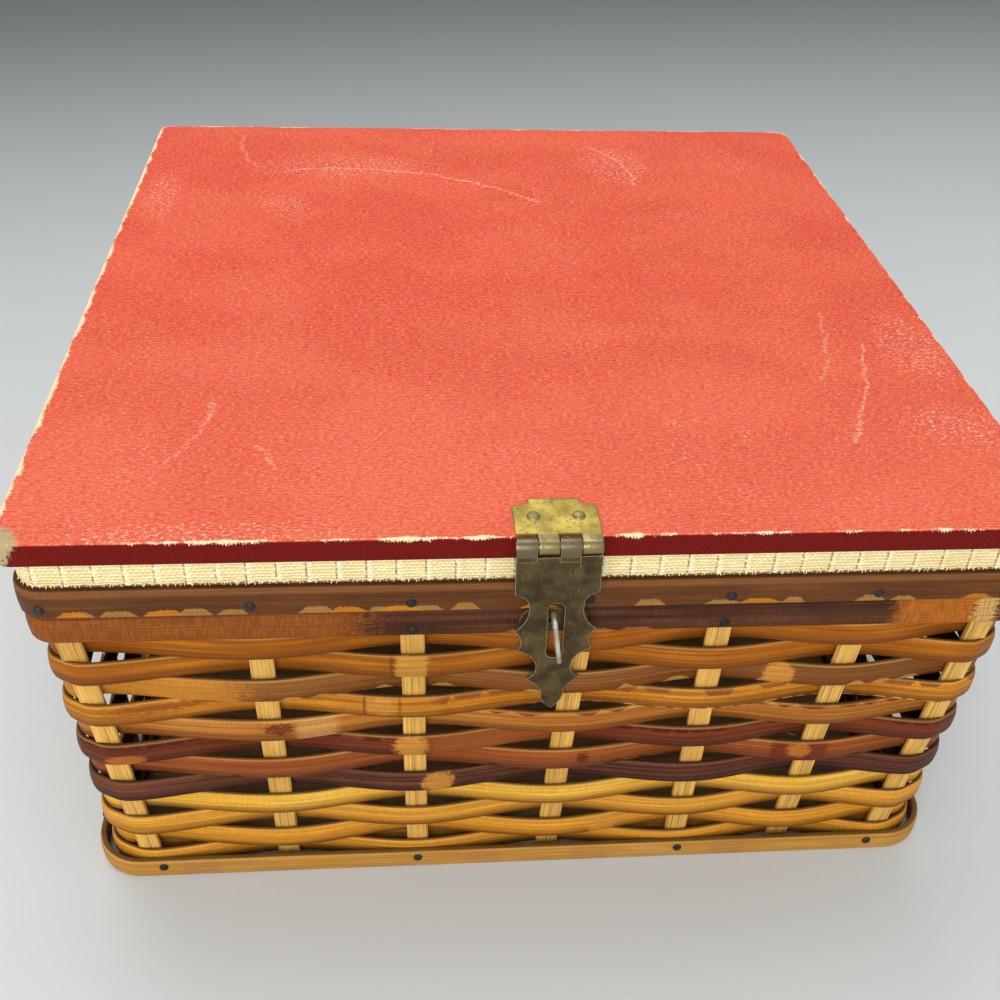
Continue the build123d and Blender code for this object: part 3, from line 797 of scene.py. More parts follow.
@dataclass(frozen=True)
class BookClothFinish:
    """Finish of the lid's ribbed book cloth, faded on top and worn through along its edges; the sides' darker
    red is partly unfaded cloth and partly painted shade.
    """

    name: str = "book cloth"
    faded: Tone = (234, 90, 62)
    redder: Tone = (222, 66, 42)
    # Red of the sides: darker than the top partly because it faded less and partly as painted shade.
    deep: Tone = (110, 13, 6)
    thread: Tone = (248, 222, 176)
    scuffed: Tone = (248, 152, 120)
    scratch: Tone = (250, 200, 162)
    valley: Tone = (206, 50, 30)
    core: Tone = (184, 164, 122)
    scuffs: tuple[Numbers, ...] = (
        (-133.0, 74.0, 8.0, 28.0), (-84.0, 64.0, 12.0, 12.0), (-60.0, 104.0, 44.0, 16.0),
        (56.0, 108.0, 18.0, 26.0), (133.0, -53.0, 14.0, 28.0), (129.0, -102.0, 18.0, 14.0),
        (64.0, -107.0, 3.0, 6.0), (43.0, -98.0, 4.0, 2.5), (-92.0, -150.0, 46.0, 7.0),
    )
    strokes: tuple[Numbers, ...] = (
        (-86.0, 100.0, 21.0, 66.0, 15.0, 1.0), (-107.0, 142.0, -98.0, 102.0, -3.0, 0.5),
        (46.0, 131.0, 62.0, 85.0, 6.0, 0.9), (108.0, -28.0, 96.0, -75.0, 3.0, 0.5),
        (118.0, -50.0, 95.0, -111.0, 2.0, 0.8), (-95.0, -81.0, -105.0, -117.0, 3.0, 0.6),
        (-81.0, -108.0, -74.0, -121.0, 1.0, 0.6),
    )

    def wear(self, graph: Graph, place: Given, rib: Given) -> Socket:
        """Work out where the threads show pale along the edges.

        Args:
            graph: the material's graph.
            place: the place on the lid in millimetres.
            rib: the height of the ribs.

        Returns:
            How worn each point is.
        """
        edge = graph.carried("edge_distance")
        side = graph.carried("edge_wear")
        slow = graph.noise(graph.scaled(place, (0.07, 0.07, 0.07)), 1.0, 3, 0.6)
        middling = graph.noise(graph.scaled(place, (0.3, 0.3, 0.3)), 1.0, 3, 0.65)
        fine = graph.noise(graph.scaled(place, (1.3, 1.3, 1.3)), 1.0, 3, 0.7)
        reach = graph.plus(side, graph.smooth(slow, 0.36, 0.64, -1.3, 0.1))
        level = graph.minus(reach, edge)
        level = graph.times_plus(graph.minus(middling, 0.5), 1.8, level)
        level = graph.times_plus(graph.minus(fine, 0.5), 2.2, level)
        level = graph.times_plus(graph.minus(rib, 0.5), 0.6, level)
        return graph.smooth(level, 0.0, 0.6)

    def stroke(self, graph: Graph, place: Given, bend: Given, ends: Numbers) -> Socket:
        """Work out one long thin scratch.

        Args:
            graph: the material's graph.
            place: the place on the lid in millimetres.
            bend: how far it wanders sideways there.
            ends: its two ends, how far it bows and how strong it is.

        Returns:
            How scratched each point is.
        """
        from_x, from_y, to_x, to_y, bow, strength = ends
        wide, deep = to_x - from_x, to_y - from_y
        square = wide**2 + deep**2
        moved = graph.scaled(place, (1.0, 1.0, 0.0), (-from_x, -from_y, 0.0))
        share = graph.dot(moved, (wide / square, deep / square, 0.0))
        away = graph.dot(moved, (-deep / square**0.5, wide / square**0.5, 0.0))
        hump = graph.times(share, graph.minus(1.0, share))
        away = graph.times_plus(hump, -4 * bow, graph.plus(away, bend))
        near = graph.smooth(graph.math("ABSOLUTE", away), 0.1, 1.1, strength, 0.0)
        return graph.times(near, graph.smooth(hump, 0.0, 0.03))

    def scratches(self, graph: Graph, place: Given) -> Socket:
        """Work out the pale scuffs and scratches on top.

        Args:
            graph: the material's graph.
            place: the place on the lid in millimetres.

        Returns:
            How scuffed each point is.
        """
        fine = graph.noise(graph.scaled(place, (0.75, 0.9, 1.0)), 1.0, 4, 0.75)
        loose = graph.noise(graph.scaled(place, (0.03, 0.03, 1.0)), 1.0, 3, 0.6)
        bend = graph.noise(graph.scaled(place, (0.11, 0.11, 1.0), (3.0, 1.0, 0.0)), 1.0, 3, 0.6)
        bend = graph.times_plus(bend, 8.0, -4.0)
        x, y, _ = graph.parts(place)
        here: Given = graph.smooth(loose, 0.5, 0.75, 0.0, 0.5)
        for middle_x, middle_y, half_x, half_y in self.scuffs:
            over_x = graph.math("POWER", graph.over(graph.minus(x, middle_x), half_x), 2.0)
            over_y = graph.math("POWER", graph.over(graph.minus(y, middle_y), half_y), 2.0)
            here = graph.math("MAXIMUM", here, graph.smooth(graph.plus(over_x, over_y), 0.1, 1.5, 1.0, 0.0))
        dots = graph.smooth(graph.times_plus(here, 0.075, fine), 0.625, 0.675)
        lines: Given = 0.0
        for ends in self.strokes:
            lines = graph.math("MAXIMUM", lines, self.stroke(graph, place, bend, ends))
        lines = graph.times(lines, graph.smooth(fine, 0.46, 0.56, 0.05, 1.0))
        return graph.math("MAXIMUM", dots, lines)

    def material(self) -> Material:
        """Build the book cloth's material.

        Returns:
            The material.
        """
        graph = Surface(self.name)
        place = graph.scaled(graph.object_place(), TO_MM)
        x, y, z = graph.parts(place)
        top = graph.carried("on_top")
        upright = graph.plus(x, y)
        top_rib = Threads().place(graph, Across=x, Along=y, Warp_Pitch=0.9, Weft_Pitch=1.05, Unevenness=0.7)
        side_rib = Threads().place(
            graph, Across=z, Along=upright, Warp_Pitch=0.7, Weft_Pitch=0.85, Unevenness=0.5
        )
        rib = graph.parts(graph.mix(top, side_rib["Height"], top_rib["Height"]))[0]
        slubs = graph.parts(graph.mix(top, side_rib["Slubs"], top_rib["Slubs"]))[0]
        fade = graph.noise(graph.scaled(place, (0.014, 0.02, 0.014)), 1.0, 4, 0.6)
        fresh = graph.mix(graph.smooth(fade, 0.4, 0.6, 0.0, 0.7), self.faded, self.redder)
        shade = graph.smooth(rib, 0.2, 0.95, 0.74, 1.12)
        dashes = graph.noise(graph.scaled(place, (0.4, 1.5, 1.0)), 1.0, 4, 0.7)
        shade = graph.times(shade, graph.smooth(dashes, 0.34, 0.66, 0.8, 1.14))
        fresh = graph.shaded(fresh, shade)
        fresh = graph.tint(fresh, slubs, 0.16, self.scuffed)
        fresh = graph.mix(graph.smooth(y, -150.0, 20.0, 0.16, 0.0), fresh, self.scuffed)
        grains = graph.noise(graph.scaled(place, (0.7, 1.8, 1.0), (7.0, 3.0, 0.0)), 1.0, 4, 0.75)
        fresh = graph.mix(graph.smooth(grains, 0.5, 0.66, 0.0, 0.75), fresh, self.scuffed)
        fresh = graph.mix(graph.smooth(grains, 0.5, 0.36, 0.0, 0.6), fresh, self.valley)
        fresh = graph.mix(graph.times(self.scratches(graph, place), 0.8), fresh, self.scratch)
        side_shade = graph.smooth(rib, 0.2, 1.0, 0.8, 1.2)
        # The sides take the deep red, partly their own unfaded colour and partly painted shade.
        colour = graph.mix(top, graph.shaded(self.deep, side_shade), fresh)
        colour = graph.mix(self.wear(graph, place, rib), colour, self.thread)
        corner = graph.carried("bare_corner")
        uneven = graph.noise(graph.scaled(place, (0.7, 0.7, 0.7)), 1.0, 3, 0.6)
        bare = graph.smooth(graph.plus(corner, graph.times(uneven, 0.5)), 0.95, 1.1)
        colour = graph.mix(bare, colour, self.core)
        return graph.finish(colour, 0.78, rib, 0.00016, gloss=0.15)


@dataclass(frozen=True)
class WovenFinish:
    """Finish of the cream woven strip and the lining."""

    name: str
    tone: Tone
    shade: Tone
    warp_pitch: float
    weft_pitch: float
    bundles: float = 0.0
    seed: float = 0.0
    depth: float = 0.0003
    # Painted shade: the tone of a thin dark line along one side of each bundle.
    seam: Tone = (160, 112, 62)

    def material(self) -> Material:
        """Build the cloth's material.

        Returns:
            The material.
        """
        graph = Surface(self.name)
        across, along, _ = graph.strip_place()
        cloth = Threads().place(
            graph, Across=across, Along=along, Warp_Pitch=self.warp_pitch, Weft_Pitch=self.weft_pitch,
            Unevenness=0.8, Seed=self.seed,
        )
        height = cloth["Height"]
        bundle_gap_shade: Given = 0.0
        if self.bundles:
            turn = graph.times(graph.over(across, self.bundles), 2 * pi)
            rope = graph.smooth(graph.math("COSINE", turn), 0.5, 0.98)
            height = graph.times_plus(rope, 0.22, graph.times(height, 0.85))
            # Painted shade: thin broken dark lines along one side of each bundle.
            broken = graph.noise(graph.vector(graph.times(across, 0.6), along, 3.0), 1.0, 3, 0.6)
            bundle_gap_shade = graph.smooth(graph.math("COSINE", graph.plus(turn, 0.6)), 0.95, 0.995)
            bundle_gap_shade = graph.times(bundle_gap_shade, graph.smooth(broken, 0.36, 0.58, 0.0, 0.85))
        stain = graph.noise(graph.vector(graph.times(across, 0.03), graph.times(along, 0.2), 1.0), 1.0, 3)
        # Painted shade in the thread valleys: the low threads take the shade tone, which the stains below
        # also use.
        colour = graph.mix(graph.smooth(height, 0.15, 0.75), self.shade, self.tone)
        colour = graph.mix(graph.smooth(stain, 0.5, 0.75, 0.0, 0.35), colour, self.shade)
        colour = graph.mix(bundle_gap_shade, colour, self.seam)
        return graph.finish(colour, 0.9, height, self.depth, gloss=0.2)


@dataclass(frozen=True)
class StageFinish:
    """Finish of the pale floor, which turns greyer far behind the box."""

    near: Tone = (213, 217, 216)
    far: Tone = (90, 94, 94)
    fade_start: float = -143.0
    fade_end: float = 1106.0
    fade_turn: float = -0.23

    def material(self) -> Material:
        """Build the floor's material.

        Returns:
            The material.
        """
        graph = Surface("floor")
        place = graph.object_place()
        x, y, _ = graph.parts(graph.scaled(place, TO_MM))
        fade = graph.smooth(graph.times_plus(x, self.fade_turn, y), self.fade_start, self.fade_end)
        colour = graph.mix(fade, self.near, self.far)
        return graph.finish(colour, 0.6)


@dataclass
class MeshData:
    """Points, faces and what each of them carries."""

    points: Array
    faces: Faces
    corners: Array | None = None
    values: dict[str, Array] = field(default_factory=dict)


def gathered(parts: list[MeshData]) -> MeshData:
    """Join several meshes that carry the same things into one.

    Args:
        parts: the meshes.

    Returns:
        The one mesh.
    """
    faces: Faces = []
    step = 0
    for part in parts:
        faces += [tuple(i + step for i in face) for face in part.faces]
        step += len(part.points)
    points = np.vstack([part.points for part in parts])
    corners = None if parts[0].corners is None else np.vstack([part.corners for part in parts])
    values = {name: np.concatenate([part.values[name] for part in parts]) for name in parts[0].values}
    return MeshData(points, faces, corners, values)


def node_box(node: str) -> list[Array]:
    """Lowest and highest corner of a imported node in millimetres."""
    return [np.array(corner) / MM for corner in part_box(node)]


def place_piece(
    name: str, data: MeshData, material: Material, body: Body, replaces: tuple[str, ...] = (),
    sharp_angle: float = 40.0,
) -> Piece:
    """Make a Blender object that rides on a body.

    Args:
        name: the piece's name.
        data: its mesh in millimetres.
        material: its finish.
        body: the body that it moves with.
        replaces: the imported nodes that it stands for.
        sharp_angle: edges that turn more than this stay sharp.

    Returns:
        The object.
    """
    mesh = bpy.data.meshes.new(name)
    mesh.from_pydata((data.points * MM).tolist(), [], data.faces)
    if data.corners is not None:
        mesh.uv_layers.new(name=STRIP_MAP).data.foreach_set("uv", data.corners.astype(np.float32).ravel())
    for key, value in data.values.items():
        mesh.attributes.new(key, "FLOAT", "POINT").data.foreach_set("value", value.astype(np.float32))
    mesh.polygons.foreach_set("use_smooth", [True] * len(mesh.polygons))
    mesh.set_sharp_from_angle(angle=radians(sharp_angle))
    mesh.materials.append(material)
    piece = bpy.data.objects.new(name, mesh)
    bpy.context.scene.collection.objects.link(piece)
    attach(piece, body.value)
    if replaces:
        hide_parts(*replaces)
    logging.info("%s: %d faces on %s", name, len(data.faces), body.value)
    return piece


def welded(node: Piece) -> bmesh.types.BMesh:
    """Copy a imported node's mesh with its doubled points joined.

    Args:
        node: the node's object.

    Returns:
        The mesh, which the caller frees.
    """
    grid = bmesh.new()
    grid.from_mesh(node.data)
    bmesh.ops.remove_doubles(grid, verts=grid.verts, dist=WELD_DISTANCE)
    return grid


def node_islands(node: Piece) -> list[Array]:
    """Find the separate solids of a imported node.

    Args:
        node: the node's object.

    Returns:
        The points of each solid in millimetres, ordered by their angle round the box.
    """
    grid = welded(node)
    seen: set[int] = set()
    found = []
    for start in grid.verts:
        if start.index in seen:
            continue
        seen.add(start.index)
        waiting, island = [start], []
        while waiting:
            vertex = waiting.pop()
            island.append(vertex.co[:])
            for edge in vertex.link_edges:
                other = edge.other_vert(vertex)
                if other.index not in seen:
                    seen.add(other.index)
                    waiting.append(other)
        found.append(np.array(island) / MM)
    grid.free()
    return sorted(found, key=lambda points: np.arctan2(points[:, 0].mean(), -points[:, 1].mean()))


@dataclass
class Strip:
    """A strip with a cross-section that is carried along a line."""

    centre: Array
    outward: Array
    upward: Array
    run: Array
    section: Array
    closed: bool = True

    def mesh(self) -> MeshData:
        """Build the strip's mesh.

        Returns:
            The mesh, with the run and the place across as its map.
        """
        steps, around = self.section.shape[:2]
        points = self.centre[:, None] + self.section[..., :1] * self.outward[:, None]
        points = (points + self.section[..., 1:] * self.upward[:, None]).reshape(-1, 3)
        runs = [*self.run, 2 * self.run[-1] - self.run[-2]]
        faces, corners = [], []
        for i in range(steps if self.closed else steps - 1):
            start, end = runs[i : i + 2]
            here, there = i * around, (i + 1) % steps * around
            for j in range(around):
                beside = (j + 1) % around
                faces.append((here + j, there + j, there + beside, here + beside))
                low, high = self.section[i, j, 1], self.section[i, beside, 1]
                corners += [(start, low), (end, low), (end, high), (start, high)]
        if not self.closed:
            for i, order in ((0, 1), (steps - 1, -1)):
                face = [i * around + j for j in range(around)][::order]
                faces.append(tuple(face))
                corners += [(self.run[i], self.section[i, j, 1]) for j in range(around)][::order]
        # Points off the outer face are marked for painted shade on the strip's edges and back.
        back_shade_points = np.tile(np.arange(around) >= FACE_POINTS, steps).astype(float)
        return MeshData(points, faces, np.array(corners), {"painted_back_shade": back_shade_points})


def cane_section(width: float, thickness: float, crown: float, ridges: float = 0.0) -> Array:
    """Cross-section of split cane: a domed outer face, rounded edges and a flat back.

    Args:
        width: its width.
        thickness: its greatest thickness.
        crown: how much the outer face falls from its middle to its edges.
        ridges: depth of the low ridges along the outer face.

    Returns:
        Points going out and up, from the lower edge over the outer face and back.
    """
    half, front, back = width / 2, thickness / 2, -thickness / 2
    corner = min(CANE_CORNER, (thickness - crown) / 2.5)
    levels = np.linspace(-half + corner, half - corner, FACE_POINTS)
    face = front - crown * np.abs(levels / half) ** 2.2 + ridges * np.cos(levels * 2 * pi / RIDGE_SPACING)
    outer = list(zip(face, levels))
    edge = front - crown - corner
    upper = [(edge, half), (back + corner, half)]
    rear = [(back, half - corner), (back, 0.0), (back, -half + corner)]
    lower = [(back + corner, -half), (edge, -half)]
    return np.array(outer + upper + rear + lower)


def sway(run: Array, length: float, waves: tuple[int, ...], seed: int) -> Array:
    """Slow wander that closes on itself.

    Args:
        run: places along a loop.
        length: the loop's whole length.
        waves: how many waves each part of the wander has.
        seed: the number that picks it.

    Returns:
        The wander at each place, mostly from -1 to 1.
    """
    picked = np.random.default_rng(seed)
    total = np.zeros(len(run))
    for count in waves:
        total += picked.uniform(0.5, 1.0) * np.sin(2 * pi * count * run / length + picked.uniform(0, 2 * pi))
    return total / len(waves)


def rounded_loop(half_x: float, half_y: float, radius: float, step: float) -> tuple[Array, ...]:
    """Walk round a rounded rectangle from the middle of its back, past its left side.

    Args:
        half_x: half its width.
        half_y: half its depth.
        radius: its corner radius.
        step: the longest step.

    Returns:
        The points in plan, the outward directions, and the run of each.
    """
    corners = ((-1, 1, 90), (-1, -1, 180), (1, -1, 270), (1, 1, 0))
    points: list[Pair] = []
    normals: list[Pair] = []

    def line(start: Pair, end: Pair, normal: Pair) -> None:
        """Add the points of a straight stretch, without its end.

        Args:
            start: where it starts.
            end: where it ends.
            normal: its outward direction.
        """
        pieces = max(1, round(np.hypot(end[0] - start[0], end[1] - start[1]) / step))
        for share in np.arange(pieces) / pieces:
            points.append((start[0] + share * (end[0] - start[0]), start[1] + share * (end[1] - start[1])))
            normals.append(normal)

    place = (0.0, half_y)
    facing = [(0.0, 1.0), (-1.0, 0.0), (0.0, -1.0), (1.0, 0.0)]
    for index, (side_x, side_y, first) in enumerate(corners):
        middle_x, middle_y = side_x * (half_x - radius), side_y * (half_y - radius)
        bends = max(4, round(radius * pi / 2 / step))
        angles = [radians(first + 90 * bend / bends) for bend in range(bends + 1)]
        arc = [(middle_x + radius * cos(angle), middle_y + radius * sin(angle)) for angle in angles]
        line(place, arc[0], facing[index])
        points += arc[:-1]
        normals += [(cos(angle), sin(angle)) for angle in angles[:-1]]
        place = arc[-1]
    line(place, (0.0, half_y), facing[0])
    plan, normal = np.array(points), np.array(normals)
    gaps = np.hypot(*(np.roll(plan, -1, axis=0) - plan).T)
    run = np.concatenate([[0.0], np.cumsum(gaps)[:-1]])
    front = plan[:, 1] < 0
    middle = np.argmin(np.where(front, np.abs(plan[:, 0]), 1e9))
    return plan, normal, run - run[middle] + plan[middle, 0]


def smooth_closed_line(knots: Array, step: float) -> Array:
    """Draw an even curve through points that form a loop.

    Args:
        knots: the points.
        step: the longest step between samples.

    Returns:
        The samples.
    """
    count = len(knots)
    samples = []
    for i in range(count):
        p0, p1, p2, p3 = (knots[(i + shift) % count] for shift in (-1, 0, 1, 2))
        spans = [max(np.linalg.norm(b - a), 1e-6) ** 0.5 for a, b in ((p0, p1), (p1, p2), (p2, p3))]
        enter = (p1 - p0) / spans[0] - (p2 - p0) / (spans[0] + spans[1]) + (p2 - p1) / spans[1]
        leave = (p2 - p1) / spans[1] - (p3 - p1) / (spans[1] + spans[2]) + (p3 - p2) / spans[2]
        enter, leave = enter * spans[1], leave * spans[1]
        pieces = max(2, int(np.ceil(np.linalg.norm(p2 - p1) / step)))
        for k in range(pieces):
            t = k / pieces
            basis = (2 * t**3 - 3 * t**2 + 1, t**3 - 2 * t**2 + t, -2 * t**3 + 3 * t**2, t**3 - t**2)
            samples.append(basis[0] * p1 + basis[1] * enter + basis[2] * p2 + basis[3] * leave)
    return np.array(samples)


@dataclass
class Weave:
    """The twelve flat weavers that run before and behind the stakes."""

    width: float = 8.6
    thickness: float = 1.75
    crown: float = 0.55
    step: float = 2.2
    wander: float = 0.12
    twist: float = 2.0
    fibres: int = 4
    fibre_radius: float = 0.09
    fibre_inset: float = 0.2
    fibre_reach: Pair = (2.0, 6.0)
    fibre_lift: Pair = (0.3, 1.4)
    fibre_lean: Pair = (0.3, 1.2)
    seam: float = 0.05
    corner_draw: float = 1.55

    def knots(self, node: Piece) -> Array:
        """Read where a packed row folds.

        Args:
            node: the row's object.

        Returns:
            The folds' middles, in order round the box.
        """
        grid = welded(node)
        grid.normal_update()
        heights = [vertex.co.z for vertex in grid.verts]
        low, middle = min(heights), (min(heights) + max(heights)) / 2
        beside: dict[Vertex, list[Vertex]] = {}
        for edge in grid.edges:
            level = all(vertex.co.z < low + 1e-6 for vertex in edge.verts)
            if level and any(abs(face.normal.z) < 0.5 for face in edge.link_faces):
                for vertex in edge.verts:
                    beside.setdefault(vertex, []).append(edge.other_vert(vertex))
        loops = []
        while beside:
            at, loop = next(iter(beside)), []
            while at in beside:
                loop.append((at.co.x, at.co.y, middle))
                at = next((other for other in beside.pop(at) if other in beside), None)
            points = np.array(loop) / MM
            turn = (np.arctan2(points[:, 0], -points[:, 1]) + pi - self.seam) % (2 * pi)
            loops.append(points[np.argsort(turn)])
        grid.free()
        return (loops[0] + loops[1]) / 2

    def drawn_in(self, knots: Array, passes_outside: bool) -> Array:
        """Let a weaver lie close round the corners, where no stake holds it off.

        Args:
            knots: the folds' middles.
            passes_outside: whether the row passes outside the corner stakes.

        Returns:
            The folds with the three of each corner moved towards the wall's middle.
        """
        moved = knots.copy()
        change = -self.corner_draw if passes_outside else self.corner_draw
        for sign_x, sign_y in ((-1, -1), (1, -1), (1, 1), (-1, 1)):
            out = knots[:, 0] * sign_x + knots[:, 1] * sign_y
            picked = np.sort(np.argsort(out)[-3:])
            first, second, third = knots[picked, :2]
            sides = np.array([second - first, third - first])
            offset = np.linalg.solve(2 * sides, (sides**2).sum(axis=1))
            centre, radius = first + offset, np.linalg.norm(offset)
            moved[picked, :2] = centre + (knots[picked, :2] - centre) * (radius + change) / radius
        return moved

    def strip(self, node: Piece, seed: int) -> Strip:
        """Lay one weaver along its row.

        Args:
            node: the row's object.
            seed: the row's number, which picks its wander and its side of the corner stakes.

        Returns:
            The strip.
        """
        knots = self.drawn_in(self.knots(node), seed % 2 == 0)
        centre = smooth_closed_line(knots, self.step)
        upward = np.tile((0.0, 0.0, 1.0), (len(centre), 1))
        ahead = np.roll(centre, -1, axis=0) - np.roll(centre, 1, axis=0)
        ahead /= np.linalg.norm(ahead, axis=1, keepdims=True)
        outward = np.cross(ahead, upward)
        outward /= np.linalg.norm(outward, axis=1, keepdims=True)
        gaps = np.linalg.norm(np.roll(centre, -1, axis=0) - centre, axis=1)
        run = np.concatenate([[0.0], np.cumsum(gaps)[:-1]])
        length = gaps.sum()
        angle = np.arctan2(centre[:, 0], -centre[:, 1])
        run -= run[np.argmin(np.abs(angle))]
        lift = self.wander * sway(run, length, (5, 9, 14, 23), seed)
        tilt = radians(self.twist) * sway(run, length, (7, 13, 24), seed + 50)
        wide = 1 + 0.03 * sway(run, length, (6, 17, 31), seed + 90)
        base = cane_section(self.width, self.thickness, self.crown)
        section = np.repeat(base[None], len(centre), axis=0)
        section[..., 1] *= wide[:, None]
        out, up = section[..., 0], section[..., 1]
        level, lean = np.cos(tilt)[:, None], np.sin(tilt)[:, None]
        section = np.stack([out * level - up * lean, up * level + out * lean], axis=-1)
        return Strip(centre + lift[:, None] * upward, outward, upward, run, section)

    def build(self, nodes: Nodes, finishes: list[CaneFinish]) -> None:
        """Make all the weavers.

        Args:
            nodes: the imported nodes.
            finishes: one finish for each row, from the top.
        """
        loose = []
        for number, finish in enumerate(finishes, 1):
            node = f"weaver_row_{number:02d}"
            strip = self.strip(nodes[node], number)
            material = finish.material()
            place_piece(f"weaver_{number:02d}", strip.mesh(), material, Body.BASKET, (node,))
            loose += self.loose_fibres(strip, number)
        place_piece("weaver_fibres", gathered(loose), material, Body.BASKET)

    def loose_fibres(self, strip: Strip, seed: int) -> list[MeshData]:
        """Build a few fibres that have lifted off a weaver's edges.

        Args:
            strip: the weaver.
            seed: the number that picks their places.

        Returns:
            One mesh for each fibre.
        """
        picked = np.random.default_rng(seed + 200)
        made = []
        for at in picked.integers(0, len(strip.centre) - 3, self.fibres):
            edge = picked.choice((-1, 1))
            ahead = strip.centre[at + 2] - strip.centre[at]
            ahead /= np.linalg.norm(ahead)
            base = strip.centre[at] + strip.upward[at] * edge * (self.width / 2 - self.fibre_inset)
            base = base + strip.outward[at] * self.fibre_inset
            reach = ahead * picked.uniform(*self.fibre_reach)
            reach = reach + strip.upward[at] * edge * picked.uniform(*self.fibre_lift)
            tip = base + reach + strip.outward[at] * picked.uniform(*self.fibre_lean)
            made.append(thread_end(base, tip, self.fibre_radius, strip.run[at]))
        return made


@dataclass
class Stakes:
    """The upright flat stakes that the weavers pass."""

    step: float = 4.0
    bow: float = 0.12
    crown: float = 0.25
    end_reach: float = 3.0
    run_shift: float = 200.0

    def upright(self, solid: Array, seed: int) -> MeshData:
        """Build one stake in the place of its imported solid.

        Args:
            solid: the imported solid's points.
            seed: the number that picks its bow.

        Returns:
            The stake's mesh.
        """
        low = solid[solid[:, 2] < solid[:, 2].min() + self.end_reach]
        high = solid[solid[:, 2] > solid[:, 2].max() - self.end_reach]
        foot, head = low.mean(axis=0), high.mean(axis=0)
        spread = low - foot
        axes = np.linalg.svd(spread[:, :2])[2]
        wide = np.array([*axes[0], 0.0])
        facing = foot * (1, 1, 0)
        outward = np.cross(wide, (0, 0, 1.0))
        if outward @ facing < 0:
            outward, wide = -outward, -wide
        half = np.abs(spread @ wide).max()
        deep = np.abs(spread @ outward).max()
        count = int(np.ceil((head[2] - foot[2]) / self.step))
        share = np.linspace(0, 1, count)
        centre = foot + share[:, None] * (head - foot)
        picked = np.random.default_rng(seed)
        wave = np.sin(share * pi * picked.uniform(2, 4) + picked.uniform(0, 6)) * self.bow
        centre = centre + wave[:, None] * wide
        flat = cane_section(2 * half, 2 * deep, self.crown)
        section = np.repeat(flat[None], count, axis=0)
        run = (head[2] - foot[2]) * share + self.run_shift * seed
        directions = np.tile(outward, (count, 1)), np.tile(wide, (count, 1))
        return Strip(centre, *directions, run, section, closed=False).mesh()

    def build(self, nodes: Nodes) -> None:
        """Make the stakes of all four sides.

        Args:
            nodes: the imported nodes.
        """
        material = StakeFinish().material()
        for number, side in enumerate(("front", "right", "back", "left")):
            node = f"stakes_{side}"
            solids = node_islands(nodes[node])
            mesh = gathered([self.upright(solid, 10 * number + i) for i, solid in enumerate(solids)])
            place_piece(f"stake_canes_{side}", mesh, material, Body.BASKET, (node,))


@dataclass
class Hoop:
    """A band of wide cane bent round the box and nailed on."""

    node: str
    piece: str
    body: Body
    finish: CaneFinish
    radius: float
    thickness: float = 2.2
    crown: float = 0.45
    ridges: float = 0.0
    lap_run: float | None = None
    lap_rise: float = 0.45
    lap_length: float = 30.0
    step: float = 2.5

    def build(self, nodes: Nodes) -> None:
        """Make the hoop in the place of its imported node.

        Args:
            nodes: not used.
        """
        low, high = node_box(self.node)
        middle = self.thickness / 2
        plan, normal, run = rounded_loop(high[0] - middle, high[1] - middle, self.radius - middle, self.step)
        length = run[-1] - run[0] + self.step
        steps = len(plan)
        level = np.full(steps, (low[2] + high[2]) / 2)
        centre = np.column_stack([plan, level])
        outward = np.column_stack([normal, np.zeros(steps)])
        upward = np.tile((0.0, 0.0, 1.0), (steps, 1))
        base = cane_section(high[2] - low[2], self.thickness, self.crown, self.ridges)
        section = np.repeat(base[None], steps, axis=0)
        section[..., 1] *= 1 - 0.012 * (1 + sway(run, length, (4, 11, 19), len(self.piece)))[:, None]
        if self.lap_run is not None:
            gone = (self.lap_run - run) / self.lap_length
            rise = np.where((gone >= 0) & (gone <= 1), 1 - gone, 0.0) * self.lap_rise
            section[..., 0] += np.where(section[..., 0] > 0, rise[:, None], 0.0)
        mesh = Strip(centre, outward, upward, run, section).mesh()
        place_piece(self.piece, mesh, self.finish.material(), self.body, (self.node,))


def ring_faces(rings: int, around: int, capped: bool = False) -> Faces:
    """Faces between rings of points.

    Args:
        rings: how many rings there are.
        around: how many points each has.
        capped: whether one face closes the last ring.

    Returns:
        The faces.
    """
    faces: Faces = []
    for ring in range(rings - 1):
        for i in range(around):
            low, beside = ring * around + i, ring * around + (i + 1) % around
            faces.append((low, beside, beside + around, low + around))
    if capped:
        faces.append(tuple(range((rings - 1) * around, rings * around)))
    return faces


def dome(flat: Array, axis: Array, radius: float, height: float, dents: float, seed: int) -> MeshData:
    """Build one domed head with a flat underside.

    Args:
        flat: the middle of its underside.
        axis: the direction that it faces.
        radius: its radius.
        height: its height.
        dents: how uneven its outline is.
        seed: the number that picks its dents.

    Returns:
        The head's mesh.
    """
    sides, rings = 20, 5
    first = np.cross(axis, (0.3, 0.2, 0.9))
    first /= np.linalg.norm(first)
    second = np.cross(axis, first)
    picked = np.random.default_rng(seed)
    points = []
    for ring in range(rings):
        turn = radians(90) * ring / rings
        for side in range(sides):
            angle = 2 * pi * side / sides
            reach = radius * cos(turn) ** 0.8 * (1 + dents * picked.uniform(-0.5, 0.5))
            way = first * cos(angle) + second * sin(angle)
            points.append(flat + way * reach + axis * height * sin(turn))
    faces = ring_faces(rings, sides)
    last, top = (rings - 1) * sides, rings * sides
    faces += [(last + side, last + (side + 1) % sides, top) for side in range(sides)]
    faces.append(tuple(range(sides))[::-1])
    return MeshData(np.array(points + [flat + axis * height]), faces)


